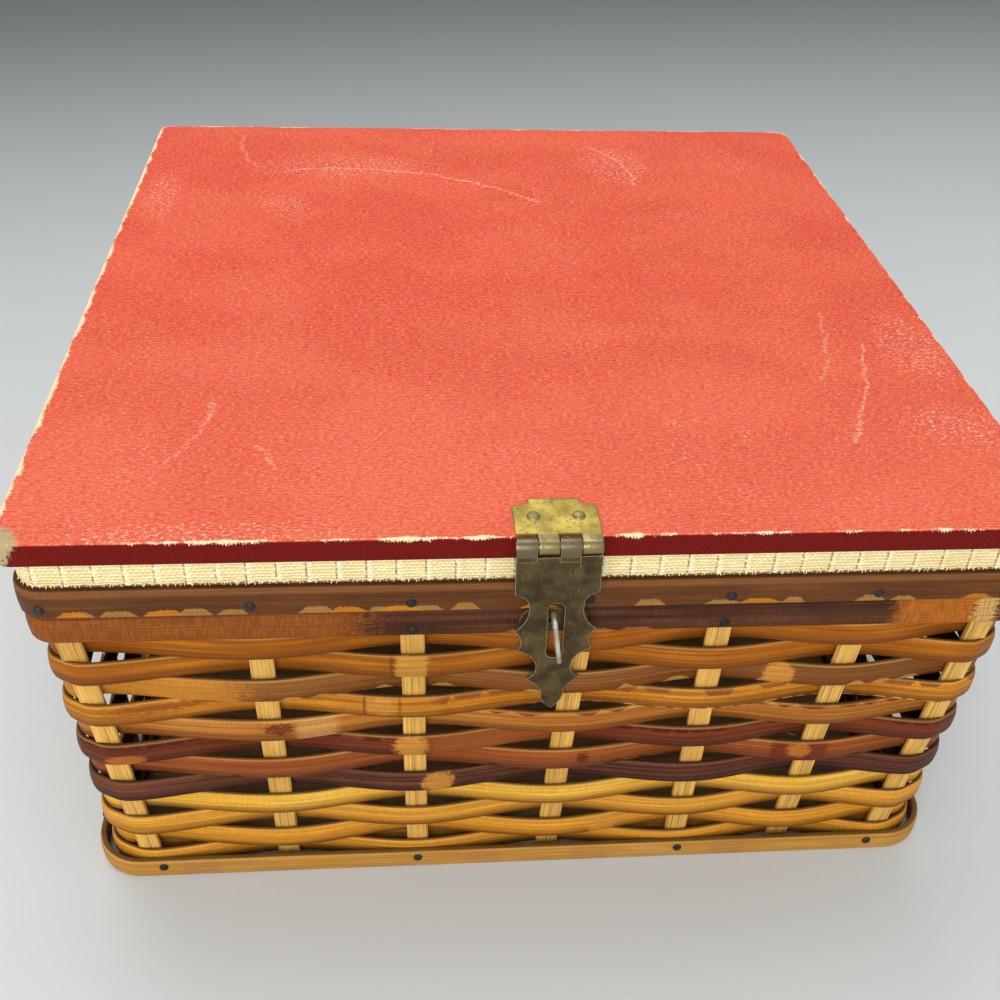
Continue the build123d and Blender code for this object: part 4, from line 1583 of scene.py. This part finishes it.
@dataclass
class Heads:
    """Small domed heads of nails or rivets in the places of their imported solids."""

    node: str
    piece: str
    body: Body
    slot: str
    finish: MetalFinish
    radius: float
    height: float
    dents: float = 0.08

    def head(self, solid: Array, seed: int) -> MeshData:
        """Build one head.

        Args:
            solid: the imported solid's points.
            seed: the number that picks its dents.

        Returns:
            The head's mesh.
        """
        middle = solid.mean(axis=0)
        axis = np.linalg.svd(solid - middle)[2][2]
        outside = np.array((0, 0, 1)) if abs(axis[2]) > 0.8 else middle * (1, 1, 0)
        if axis @ outside < 0:
            axis = -axis
        flat = middle + axis * ((solid - middle) @ axis).min()
        return dome(flat, axis, self.radius, self.height, self.dents, seed)

    def build(self, nodes: Nodes) -> None:
        """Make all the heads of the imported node.

        Args:
            nodes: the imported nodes.
        """
        solids = node_islands(nodes[self.node])
        mesh = gathered([self.head(solid, i) for i, solid in enumerate(solids)])
        material = self.finish.material()
        place_piece(self.piece, mesh, material, self.body, (self.node,), ROUND_ANGLE)


@dataclass
class LidCover:
    """Book cloth glued over the lid's board and turned in below."""

    corner_radius: float = 5.0
    edge_rounding: float = 0.9
    turn_in: float = 14.0
    step: float = 2.5
    strong_wear: Numbers = (2.1, 1.2, 1.0, 1.5)
    bare_corner: Pair = (-145.0, -152.5)
    bare_radius: float = 16.0

    def rings(self, half_x: float, half_y: float, low: float, high: float) -> list[Pair]:
        """Insets and heights of the cloth's rings, from the turned-in edge to the top.

        Args:
            half_x: not used.
            half_y: not used.
            low: its lowest height.
            high: its highest height.

        Returns:
            Each ring's inset from the outline and its height.
        """
        soft = self.edge_rounding
        bends = [(1 - sin(turn), 1 - cos(turn)) for turn in np.radians((0, 22.5, 45, 67.5, 90))]
        made = [(self.turn_in, low), (self.turn_in / 2, low), (2.5, low)]
        made += [(soft * near, low + soft * far) for near, far in bends]
        made += [(0.0, low + share * (high - low)) for share in (0.3, 0.5, 0.7)]
        made += [(soft * far, high - soft * near) for near, far in bends]
        return made + [(inset, high) for inset in (2.0, 3.5, 6.0, 10.0, 18.0, 40.0, 80.0, 120.0)]

    def build(self) -> None:
        low, high = node_box("lid_cloth")
        half_x, half_y = high[0], high[1]
        plan, normal, _ = rounded_loop(half_x, half_y, self.corner_radius, self.step)
        points, values = [], {name: [] for name in ("edge_distance", "edge_wear", "on_top", "bare_corner")}
        weights = self.side_weights(normal)
        rings = self.rings(half_x, half_y, low[2], high[2])
        for inset, level in rings:
            share_x, share_y = 1 - inset / half_x, 1 - inset / half_y
            ring = plan * (share_x, share_y) if inset > self.corner_radius else plan - normal * inset
            points.append(np.column_stack([ring, np.full(len(ring), level)]))
            from_top = high[2] - level
            values["edge_distance"].append(np.full(len(ring), max(inset, from_top, 0.0)))
            values["edge_wear"].append(weights)
            values["on_top"].append(np.full(len(ring), float(from_top < self.edge_rounding * 0.35)))
            away = np.hypot(*(ring - self.bare_corner).T) + from_top * 0.6
            values["bare_corner"].append(np.clip(1.25 - away / self.bare_radius, 0, 1))
        faces = ring_faces(len(rings), len(plan), capped=True)
        data = MeshData(np.vstack(points), faces, None, {k: np.concatenate(v) for k, v in values.items()})
        material = BookClothFinish().material()
        cloth = place_piece("lid_cover", data, material, Body.LID, ("lid_cloth",), ROUND_ANGLE)

    def side_weights(self, normal: Array) -> Array:
        """How strongly each side's edge is worn.

        Args:
            normal: the outward direction of each point.

        Returns:
            The wear of each point: left, right, front and back weights mixed round the corners.
        """
        left, right, front, back = self.strong_wear
        x, y = normal[:, 0], normal[:, 1]
        return np.where(x < 0, left, right) * x**2 + np.where(y < 0, front, back) * y**2


@dataclass
class FabricBand:
    """Cream woven strip between the board and the lid's cane hoop, with a frayed hem."""

    radius: float = 7.4
    step: float = 0.8
    rows: int = 9
    bundle: float = 8.0
    bulge: float = 0.35
    fray_depth: float = 0.5
    scallop: float = 3.2
    hem_allowance: float = 1.6
    fringe_length: float = 1.1
    fringe_spacing: float = 1.3

    def build(self) -> None:
        low, high = node_box("lid_fabric_band")
        plan, normal, run = rounded_loop(high[0], high[1], self.radius, self.step)
        length = run[-1] - run[0] + self.step
        picked = np.random.default_rng(7)
        fray = picked.uniform(0, 1, len(plan))
        fray = 0.6 * fray + 0.4 * np.roll(fray, 1)
        hollow = 0.5 + 0.5 * sway(run, length, (9, 15, 31), 4)
        points = []
        for row in range(self.rows):
            share = row / (self.rows - 1)
            level = low[2] + share * (high[2] - low[2])
            if row == 0:
                scallop = 0.5 - 0.5 * np.cos(2 * pi * run / self.scallop)
                level = level - self.fray_depth * 0.4 + self.fray_depth * (0.6 * fray + scallop)
            rope = np.clip((np.cos(2 * pi * run / self.bundle) - 0.7) / 0.3, 0, 1)
            swell = self.bulge * rope + 0.25 * hollow * np.sin(pi * share) - 0.35
            swell = swell - 0.5 * hollow * (share > 0.8)
            ring = plan + normal * swell[:, None]
            points.append(np.column_stack([ring, np.broadcast_to(level, len(plan))]))
        faces = ring_faces(self.rows, len(plan))
        levels = np.linspace(0, high[2] - low[2], self.rows)
        runs = [*run, 2 * run[-1] - run[-2]]
        corners = []
        for under, over in zip(levels, levels[1:]):
            for here, after in zip(runs, runs[1:]):
                corners += [(here, under), (after, under), (after, over), (here, over)]
        data = MeshData(np.vstack(points), faces, np.array(corners))
        material = WovenFinish(
            "cream fabric", tone=(255, 250, 204), shade=(240, 198, 120), warp_pitch=1.5, weft_pitch=1.1,
            bundles=self.bundle, seed=2.0, depth=0.0004,
        ).material()
        strip = place_piece(
            "lid_fabric_strip", data, material, Body.LID, ("lid_fabric_band",)
        )
        threads = self.fringe(plan, normal, run, low[2])
        fringe = place_piece("lid_fabric_fringe", threads, material, Body.LID)

    def fringe(self, plan: Array, normal: Array, run: Array, low: float) -> MeshData:
        """Build the loose thread ends along the hem.

        Args:
            plan: the strip's outline.
            normal: the outward directions.
            run: the run of each point.
            low: the hem's height.

        Returns:
            The thread ends as one mesh.
        """
        picked = np.random.default_rng(11)
        ends = []
        for place in np.arange(run[0], run[-1], self.fringe_spacing):
            at = np.searchsorted(run, place)
            base = np.array([*plan[at], low + 0.5]) - np.array([*normal[at], 0.0]) * 0.25
            lean = np.array([-normal[at][1], normal[at][0], 0.0]) * picked.uniform(-0.6, 0.6)
            drop = picked.uniform(0.35, 1.0) * self.fringe_length
            tip = base + lean + np.array([0, 0, -drop])
            tip = tip + np.array([*normal[at], 0.0]) * picked.uniform(0.0, 0.5)
            ends.append(thread_end(base, tip, picked.uniform(0.14, 0.24), place))
        return gathered(ends)


def thread_end(base: Array, tip: Array, radius: float, place: float) -> MeshData:
    """Build one short thread.

    Args:
        base: where it starts.
        tip: where it ends.
        radius: its radius at the base.
        place: its run, for the cloth's map.

    Returns:
        The thread's mesh.
    """
    along = (tip - base) / np.linalg.norm(tip - base)
    first = np.cross(along, (0.31, 0.17, 0.93))
    first /= np.linalg.norm(first)
    second = np.cross(along, first)
    points = []
    for centre, size in ((base, radius), ((base + tip) / 2, radius * 0.9), (tip, radius * 0.45)):
        for side in range(THREAD_SIDES):
            angle = 2 * pi * side / THREAD_SIDES
            points.append(centre + size * (first * cos(angle) + second * sin(angle)))
    faces = ring_faces(3, THREAD_SIDES, capped=True)
    corners = np.array([(place, 0.0)] * sum(len(face) for face in faces))
    return MeshData(np.array(points), faces, corners)


@dataclass
class Lining:
    """Cotton lining glued under the board, inside the lid's frame."""

    radius: float = 3.6
    step: float = 4.0
    pucker: float = 0.12
    insets: Numbers = (0.0, 1.5, 4.0, 8.0, 16.0, 32.0, 56.0, 84.0, 112.0)

    def build(self) -> None:
        low, high = node_box("lid_lining")
        plan, _, _ = rounded_loop(high[0], high[1], self.radius, self.step)
        points, places = [], []
        for inset in self.insets:
            ring = plan * (1 - inset / high[0], 1 - inset / high[1])
            wave = self.pucker * (1 + np.sin(ring[:, 0] * 0.11) * np.sin(ring[:, 1] * 0.09)) * (inset > 0)
            points.append(np.column_stack([ring, (low[2] + high[2]) / 2 - wave]))
            places.append(ring)
        faces = [face[::-1] for face in ring_faces(len(self.insets), len(plan), capped=True)]
        corners = np.vstack(places)[np.concatenate(faces)]
        data = MeshData(np.vstack(points), faces, corners)
        material = WovenFinish(
            "lining cotton", tone=(236, 222, 190), shade=(196, 176, 140), warp_pitch=0.9, weft_pitch=0.9,
            seed=5.0, depth=0.00015,
        ).material()
        cloth = place_piece("lid_lining_cotton", data, material, Body.LID, ("lid_lining",))


def filleted(points: list[Array], radii: list[float], steps: int = 8) -> Array:
    """Round the corners of a broken line with arcs.

    Args:
        points: the line's points.
        radii: the radius at each inner point.
        steps: how many samples each arc has.

    Returns:
        The rounded line's samples.
    """
    made = [points[0]]
    for before, corner, after, radius in zip(points, points[1:], points[2:], radii):
        enter = (before - corner) / np.linalg.norm(before - corner)
        leave = (after - corner) / np.linalg.norm(after - corner)
        half = np.arccos(np.clip(enter @ leave, -1, 1)) / 2
        reach = radius / tan(half)
        start, end = corner + enter * reach, corner + leave * reach
        middle = (enter + leave) / np.linalg.norm(enter + leave)
        centre = corner + middle * radius / sin(half)
        first, last = start - centre, end - centre
        swing = np.arccos(np.clip(first @ last / radius**2, -1, 1))
        for k in range(steps + 1):
            t = k / steps
            made.append(centre + (np.sin((1 - t) * swing) * first + np.sin(t * swing) * last) / np.sin(swing))
    made.append(points[-1])
    return np.array(made)


@dataclass
class Eye:
    """Round wire of the turning staple: a tall loop in front and two legs clinched inside."""

    wire_radius: float = 0.68
    tilt: float = 8.0
    reach: float = 7.0
    shoulder: float = 1.2
    leg_offset: float = 0.72
    leg_length: float = 4.0
    leg_bend: float = 0.75
    shoulder_bend: float = 1.6
    loop_bend: float = 3.0
    axis_x: float = 3.0
    axis_z: float = 112.2
    loop_height: float = 17.2
    sides: int = 14
    finish: MetalFinish = MetalFinish(
        "wire steel", (222, 216, 200), (176, 166, 146), (96, 78, 54), (240, 236, 226), seed=6.0, rough=0.3
    )

    def line(self) -> Array:
        """Centre line of the wire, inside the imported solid's box.

        Returns:
            Its samples.
        """
        low, high = node_box("turn_staple")
        end = -low[1] - self.wire_radius
        start = end - self.reach + 2 * self.wire_radius
        leg = -high[1] + self.wire_radius
        half = self.loop_height / 2 - self.wire_radius
        profile = [
            (leg, self.leg_length), (leg, self.leg_offset), (start, self.leg_offset),
            (start + self.shoulder / 2, half), (end - self.shoulder, half), (end, half / 2),
            (end, -half / 2), (end - self.shoulder, -half), (start + self.shoulder / 2, -half),
            (start, -self.leg_offset), (leg, -self.leg_offset), (leg, -self.leg_length),
        ]
        bends = [self.leg_bend, self.leg_bend, self.shoulder_bend, self.shoulder_bend, self.loop_bend]
        radii = bends + bends[::-1]
        lean = radians(self.tilt)
        placed = [np.array([-up * sin(lean), -out, up * cos(lean)]) for out, up in profile]
        return filleted(placed, radii) + np.array([self.axis_x, 0.0, self.axis_z])

    def build(self) -> None:
        """Make the wire as one round tube."""
        line = self.line()
        ahead = np.gradient(line, axis=0)
        ahead /= np.linalg.norm(ahead, axis=1, keepdims=True)
        lean = radians(self.tilt)
        sideways = np.array([cos(lean), 0.0, sin(lean)])
        other = np.cross(ahead, sideways)
        other /= np.linalg.norm(other, axis=1, keepdims=True)
        turns = 2 * pi * np.arange(self.sides) / self.sides
        level, rise = np.cos(turns)[:, None] * sideways, np.sin(turns)[:, None]
        rings = [p + self.wire_radius * (level + rise * o) for p, o in zip(line, other)]
        faces = ring_faces(len(line), self.sides, capped=True)
        faces.append(tuple(range(self.sides))[::-1])
        data = MeshData(np.vstack(rings), faces)
        material = self.finish.material()
        place_piece("eye_wire", data, material, Body.STAPLE, ("turn_staple",), ROUND_ANGLE)


@dataclass
class Hardware:
    """Hasp, staple plate, hinges and their rivets."""

    edge_rounding: float = 0.16
    leaf_rivet_spacing: float = 8.0
    leaf_rivet_inset: float = 3.0
    leaf_rivet_radius: float = 1.3
    leaf_rivet_height: float = 0.6
    leaf_rivet_dents: float = 0.04
    rounding_steps: int = 2
    flat_bend: float = 1.0
    sharp_bend: float = 35.0
    shading_angle: float = 32.0
    olive: MetalFinish = MetalFinish(
        "plate brass", (200, 176, 76), (162, 140, 58), (96, 70, 32), (104, 76, 40), seed=1.0, metal=0.5,
        wear=1.2, wear_radius=0.0008, rolled=(-152.6, 100.0),
    )
    bronze: MetalFinish = MetalFinish(
        "flap bronze", (92, 76, 34), (60, 43, 12), (30, 24, 12), (196, 176, 136), seed=2.0, metal=0.5,
        rough=0.44, wear=1.1, rolled=(-150.0, 140.2),
    )
    hinge: MetalFinish = MetalFinish(
        "hinge brass", (168, 140, 78), (118, 94, 50), (70, 50, 26), (214, 196, 140), seed=3.0, metal=0.8,
        rough=0.38,
    )
    rivet: MetalFinish = MetalFinish(
        "rivet brass", (168, 156, 104), (136, 122, 76), (90, 70, 40), (216, 206, 164), seed=4.0, metal=0.8,
        rough=0.36,
    )

    def softened(self, node: Piece, piece: str, material: Material, body: Body) -> None:
        """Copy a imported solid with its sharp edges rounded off, as stamped metal has them.

        Args:
            node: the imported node's object.
            piece: the new piece's name.
            material: its finish.
            body: the body that it moves with.
        """
        grid = welded(node)
        flat = radians(self.flat_bend)
        bmesh.ops.dissolve_limit(grid, angle_limit=flat, verts=grid.verts, edges=grid.edges)
        bend = radians(self.sharp_bend)
        sharp = [e for e in grid.edges if len(e.link_faces) == 2 and e.calc_face_angle(0.0) > bend]
        bmesh.ops.bevel(
            grid, geom=sharp, offset=self.edge_rounding * MM, segments=self.rounding_steps, profile=0.6,
            affect="EDGES", clamp_overlap=True,
        )
        points = np.array([vertex.co[:] for vertex in grid.verts]) / MM
        grid.verts.index_update()
        faces = [tuple(vertex.index for vertex in face.verts) for face in grid.faces]
        grid.free()
        data = MeshData(points, faces)
        place_piece(piece, data, material, body, (node.name,), self.shading_angle)

    def leaf_rivets(self, leaves: Piece, way: int) -> MeshData:
        """Build the rivet heads of two back leaves.

        Args:
            leaves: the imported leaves.
            way: 1 for the leaves on the lid, -1 for those on the rim.

        Returns:
            The heads as one mesh.
        """
        heads = []
        for solid in node_islands(leaves):
            end = way * (way * solid[:, 2]).max()
            face = solid[np.abs(solid[:, 2] - end) < 0.05, 1].max()
            middle = (solid[:, 0].min() + solid[:, 0].max()) / 2
            for shift in (-self.leaf_rivet_spacing, 0.0, self.leaf_rivet_spacing):
                flat = np.array([middle + shift, face, end - way * self.leaf_rivet_inset])
                size = (self.leaf_rivet_radius, self.leaf_rivet_height, self.leaf_rivet_dents)
                heads.append(dome(flat, np.array([0.0, 1.0, 0.0]), *size, seed=len(heads)))
        return gathered(heads)

    def build(self, nodes: Nodes) -> None:
        """Make every metal piece.

        Args:
            nodes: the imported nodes.
        """
        olive, bronze, hinge = self.olive.material(), self.bronze.material(), self.hinge.material()
        for node, piece, material, body, slot in (
            ("hasp_plate", "hasp_top_plate", olive, Body.LID, "plate_brass"),
            ("hasp_flap", "hasp_leaf", bronze, Body.FLAP, "flap_bronze"),
            ("staple_plate", "eye_plate", bronze, Body.BASKET, "flap_bronze"),
            ("hasp_pin", "hasp_rod", hinge, Body.LID, "hinge_brass"),
            ("hinge_upper_leaves", "back_hinge_tops", hinge, Body.LID, "hinge_brass"),
            ("hinge_lower_leaves", "back_hinge_bottoms", hinge, Body.BASKET, "hinge_brass"),
            ("hinge_pins", "back_hinge_rods", hinge, Body.BASKET, "hinge_brass"),
        ):
            self.softened(nodes[node], piece, material, body)
        names = ("hasp_rivets", "hasp_rivet_heads", Body.LID, "rivet_brass")
        Heads(*names, self.rivet, radius=1.9, height=1.0, dents=0.03).build(nodes)
        rivet = self.rivet.material()
        for leaves, piece, body, way in (
            ("hinge_upper_leaves", "back_hinge_rivets_top", Body.LID, 1),
            ("hinge_lower_leaves", "back_hinge_rivets_bottom", Body.BASKET, -1),
        ):
            heads = self.leaf_rivets(nodes[leaves], way)
            place_piece(piece, heads, rivet, body, (), ROUND_ANGLE)
        Eye().build()


@dataclass
class Studio:
    """Camera at the photograph's angle, soft light and a pale floor."""

    focal_pixels: float = 1209.2
    camera_place: Point = (-39.53, -400.26, 341.25)
    yaw: float = 0.103
    pitch: float = 0.639
    roll: float = 0.047
    floor_half: float = 4000.0
    world_strength: float = 0.62
    world_colour: Numbers = (0.97, 0.985, 1.0, 1.0)
    aim: Point = (0.0, 0.0, 60.0)
    window_place: Point = (-150.0, 500.0, 1300.0)
    window_side: float = 1100.0
    room_place: Point = (-300.0, -1200.0, 700.0)
    room_side: float = 900.0
    lamp_power: float = 8.4
    front_share: float = 1.2

    def camera(self) -> None:
        """Place the camera."""
        ahead = Vector((sin(self.yaw) * cos(self.pitch), cos(self.yaw) * cos(self.pitch), -sin(self.pitch)))
        level = Vector((cos(self.yaw), -sin(self.yaw), 0))
        above = level.cross(ahead)
        right = level * cos(self.roll) + above * sin(self.roll)
        up = above * cos(self.roll) - level * sin(self.roll)
        place = Matrix((right, up, -ahead)).transposed().to_4x4()
        place.translation = Vector(self.camera_place) * MM
        data = bpy.data.cameras.new("camera")
        data.sensor_width = SENSOR_WIDTH
        data.lens = self.focal_pixels / PICTURE_SIDE * SENSOR_WIDTH
        camera = bpy.data.objects.new("camera", data)
        camera.matrix_world = place
        bpy.context.scene.collection.objects.link(camera)
        bpy.context.scene.camera = camera

    def floor(self) -> None:
        """Lay the floor."""
        side = self.floor_half * MM
        mesh = bpy.data.meshes.new("floor")
        corners = [(-side, -side, 0), (side, -side, 0), (side, side, 0), (-side, side, 0)]
        mesh.from_pydata(corners, [], [(0, 1, 2, 3)])
        mesh.materials.append(StageFinish().material())
        floor = bpy.data.objects.new("floor", mesh)
        bpy.context.scene.collection.objects.link(floor)

    def lamp(self, name: str, place: Point, side: float, power: float) -> None:
        """Hang one soft lamp.

        Args:
            name: the lamp's name.
            place: where it hangs.
            side: the length of its sides.
            power: its power in watts.
        """
        data = bpy.data.lights.new(name, "AREA")
        data.shape = "SQUARE"
        data.size = side * MM
        data.energy = power
        lamp = bpy.data.objects.new(name, data)
        lamp.location = Vector(place) * MM
        lamp.rotation_euler = (Vector(self.aim) - Vector(place)).to_track_quat("-Z", "Y").to_euler()
        bpy.context.scene.collection.objects.link(lamp)

    def build(self) -> None:
        """Set up the whole studio."""
        scene = bpy.context.scene
        scene.view_settings.view_transform = "Standard"
        world = bpy.data.worlds.new("studio")
        world.use_nodes = True
        back = world.node_tree.nodes["Background"]
        back.inputs["Color"].default_value = self.world_colour
        back.inputs["Strength"].default_value = self.world_strength
        scene.world = world
        self.camera()
        self.floor()
        self.lamp("window", self.window_place, self.window_side, self.lamp_power)
        self.lamp("room", self.room_place, self.room_side, self.lamp_power * self.front_share)


NAIL_IRON = MetalFinish(
    "nail iron", (52, 50, 50), (34, 32, 34), (24, 18, 16), (112, 104, 96), seed=5.0, metal=0.6, rough=0.45
)
# HONEY's last tone is painted shade for the lower half of each strip.
HONEY = {"tone": (208, 122, 20), "streak": (124, 60, 8), "pale": (238, 162, 56), "underside": (112, 58, 14)}


def node_mark(middle: float, half_length: float) -> Patch:
    """Pale ochre knot that a cane shows where a leaf grew."""
    return Patch((222, 150, 62), middle, half_length, 0.8, 0.0, 4.6, 0.5, 0.8)


def row_finishes(half_width: float) -> list[CaneFinish]:
    """Finishes of the twelve weavers from the top row down.

    Args:
        half_width: half a weaver's width.

    Returns:
        One finish for each row.
    """

    def honey(number: int, slot: str = "cane_honey", **changes: object) -> CaneFinish:
        """Honey cane with a row's own changes."""
        name, seed = f"weaver cane {number:02d}", 3.0 * number
        return CaneFinish(name, slot, half_width=half_width, seed=seed, **(HONEY | changes))

    yellow = (238, 162, 48)
    # Where a row gives its own lower tone, that tone is painted shade on the row's lower half.
    return [
        honey(1, tone=(172, 92, 6), pale=(206, 128, 30)),
        honey(
            2, tone=(176, 100, 12), pale=(204, 126, 34),
            teeth=(Teeth((168, 90, 34), Edge.UPPER, 7.0, 1.8, 0.8, 2.2, 40.0, 72.0),),
            patches=(
                Patch((110, 56, 18), -43.5, 0.7, 0.7, raggedness=0.15),
                Patch((232, 172, 76), -38.0, 4.5, 0.5, raggedness=0.5),
            ),
        ),
        honey(
            3, "cane_brown", tone=(150, 90, 38), streak=(100, 54, 22), pale=(166, 108, 52),
            teeth=(Teeth((206, 146, 70), Edge.LOWER, 9.0, 2.6, 0.6, 1.3),),
            patches=(
                Patch((206, 134, 44), -240.0, 153.0, 0.9, raggedness=0.4, softness=1.5),
                node_mark(74.0, 4.6),
            ),
        ),
        honey(
            4, "cane_golden", tone=(208, 128, 28),
            teeth=(
                Teeth((142, 76, 34), Edge.UPPER, 9.5, 3.2, 0.75, 2.4, -30.0, 700.0),
                Teeth((232, 182, 104), Edge.LOWER, 5.0, 1.2, 0.8, 1.8, 0.0, 700.0),
            ),
            patches=(
                Patch((138, 66, 22), -112.0, 13.0, 0.6, 2.0, 1.8, 0.5),
                Patch((224, 160, 78), -47.0, 4.8, 0.4, 0.6, 3.4, 0.6, 0.9),
                Patch((84, 44, 18), -51.5, 0.35, 0.75, raggedness=0.15),
                Patch((84, 44, 18), -41.0, 0.35, 0.55, raggedness=0.15),
            ),
        ),
        honey(
            5, "cane_ochre", tone=(198, 122, 42), pale=(214, 146, 68),
            teeth=(Teeth((112, 32, 16), Edge.UPPER, 9.0, 2.0, 0.6, 1.2, -20.0, 700.0),),
            patches=(
                Patch((92, 24, 12), -77.0, 4.2, 0.8, 1.0, 2.2, 0.5),
                Patch((228, 178, 104), -66.0, 6.0, 0.45, raggedness=0.5, softness=1.5),
            ),
        ),
        honey(
            6, "cane_mahogany", tone=(128, 54, 24), streak=(66, 26, 16), pale=(142, 70, 32),
            underside=(76, 38, 26), teeth=(Teeth((84, 20, 12), Edge.UPPER, 6.0, 2.0, 0.9, 3.0),),
            patches=(
                Patch((188, 104, 40), -124.0, 6.0, 0.9, -2.2, 2.2, 0.1), node_mark(-37.0, 5.2),
                Patch((176, 96, 36), -10.0, 22.0, 0.6, raggedness=0.6, softness=2.5),
            ),
        ),
        honey(
            7, "cane_brown", tone=(170, 86, 34), streak=(104, 46, 20), pale=(176, 100, 44),
            underside=(92, 50, 30), teeth=(Teeth((76, 28, 16), Edge.LOWER, 10.0, 2.6, 0.5, 1.2),),
            patches=(
                Patch((104, 28, 14), 17.5, 2.0, 0.8, 0.5, 2.4, 0.3),
                Patch((110, 38, 18), 88.0, 9.0, 0.8, raggedness=0.4, softness=1.2),
                Patch((196, 116, 44), 88.0, 3.6, 0.85, 1.0, 3.0, 0.4, 0.8),
            ),
        ),
        # Row 8's rim tone is a painted highlight on its upper edge.
        honey(
            8, "cane_aubergine", tone=(104, 56, 36), streak=(46, 20, 18), pale=(128, 76, 48),
            underside=(58, 32, 30), ridges=0.75, rim=(150, 98, 70), patches=(node_mark(-30.0, 4.8),),
        ),
        honey(9, ridges=0.25, tone=(252, 188, 60), pale=(252, 200, 92)),
        honey(10, ridges=0.3, tone=(236, 168, 58)),
        honey(11, ridges=0.25, tone=yellow, patches=(node_mark(26.0, 5.0),)),
        honey(12, ridges=0.3, tone=yellow),
    ]


def hoops() -> list[Hoop]:
    """The cane hoops of the lid, rim and foot.

    Returns:
        The hoops, outside and inside.
    """
    # Each rim tone below is a painted highlight along the hoop's upper edge.
    lid = CaneFinish(
        "lid cane", "lid_cane", tone=(102, 58, 26), streak=(66, 34, 16), pale=(124, 76, 38),
        half_width=4.9, seed=41.0, ridges=0.35, ticks=0.1, rim=(176, 116, 66), painted_highlight_share=0.5,
        ridge_pitch=2.2,
        teeth=(
            Teeth((178, 128, 62), Edge.LOWER, 10.4, 3.4, 0.7, 1.7),
            Teeth((206, 128, 24), Edge.LOWER, 12.6, 3.8, 0.3, 1.5),
        ),
        patches=(Patch((160, 104, 58), 0.0, 3000.0, 0.5, 3.4, 0.8, 0.03),),
    )
    rim = CaneFinish(
        "rim cane", "rim_cane", tone=(88, 48, 26), streak=(52, 27, 18), pale=(118, 72, 42),
        half_width=5.25, seed=43.0, ridges=0.7, ticks=0.32, rim=(150, 98, 66), ridge_pitch=1.9,
        teeth=(Teeth((168, 110, 58), Edge.LOWER, 15.0, 2.4, 0.3, 2.0, -40.0, 100.0),),
        patches=(
            Patch((166, 90, 26), -122.0, 72.0, 0.85, raggedness=1.2, softness=4.0),
            Patch((204, 114, 30), 115.0, 12.0, 0.85, raggedness=0.8, softness=3.0),
            Patch((228, 178, 104), 129.5, 3.4, 0.9, raggedness=0.6, softness=1.0),
            Patch((92, 44, 40), -120.0, 76.0, 0.6, 4.3, 0.7, 0.03),
        ),
    )
    foot = CaneFinish(
        "foot cane", "foot_cane", tone=(200, 142, 56), streak=(140, 86, 32), pale=(206, 156, 80),
        half_width=3.75, seed=47.0, ridges=0.3, ticks=0.05, rough=0.4, ridge_pitch=1.6,
        patches=tuple(
            Patch((182, 118, 70), run, 6.0, 0.4, raggedness=0.6) for run in (-106.0, -14.0, 22.0, 70.0, 250.0)
        ),
    )
    inner_rim = CaneFinish(
        "inner rim cane", "rim_cane", (176, 108, 44), (128, 72, 28), (196, 134, 66), 5.25, seed=53.0
    )
    inner_foot = CaneFinish(
        "inner foot cane", "foot_cane", (200, 138, 62), (150, 90, 36), (216, 158, 82), 3.75, seed=59.0
    )
    return [
        Hoop("lid_band", "lid_hoop", Body.LID, lid, 9.0, crown=0.3, ridges=0.05),
        Hoop("rim_band_outer", "rim_hoop", Body.BASKET, rim, 8.5, ridges=0.06, lap_run=131.0),
        Hoop("rim_band_inner", "rim_hoop_inner", Body.BASKET, inner_rim, 3.74),
        Hoop("foot_band_outer", "foot_hoop", Body.BASKET, foot, 15.7, crown=0.35),
        Hoop("foot_band_inner", "foot_hoop_inner", Body.BASKET, inner_foot, 6.16),
    ]


def dress_wood(nodes: Nodes) -> None:
    """Give the plain wooden nodes their materials.

    Args:
        nodes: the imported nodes.
    """
    woods = {
        "base_board": WoodFinish("base wood", (206, 170, 118), (160, 116, 68)),
        "lid_frame": WoodFinish("frame wood", (196, 156, 104), (150, 106, 62)),
        "lid_board": WoodFinish("board core", (170, 152, 112), (128, 108, 72)),
    }
    for name, finish in woods.items():
        slots = nodes[name].material_slots
        for slot in slots:
            slot.material = finish.material()
        logging.info("%s: %d material slots", name, len(slots))


def main() -> None:
    """Load the frame and build every piece round it."""
    logging.basicConfig(level=logging.INFO, format="%(message)s")
    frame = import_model()
    nodes = frame["nodes"]
    Studio().build()
    weave = Weave()
    weave.build(nodes, row_finishes(weave.width / 2))
    Stakes().build(nodes)
    for hoop in hoops():
        hoop.build(nodes)
    for node, piece, body in (
        ("lid_band_nails", "lid_nail_heads", Body.LID), ("rim_nails", "rim_nail_heads", Body.BASKET),
        ("foot_nails", "foot_nail_heads", Body.BASKET),
    ):
        Heads(node, piece, body, "nail_iron", NAIL_IRON, radius=1.5, height=0.8).build(nodes)
    LidCover().build()
    FabricBand().build()
    Lining().build()
    Hardware().build(nodes)
    dress_wood(nodes)


if __name__ == "__main__":
    main()
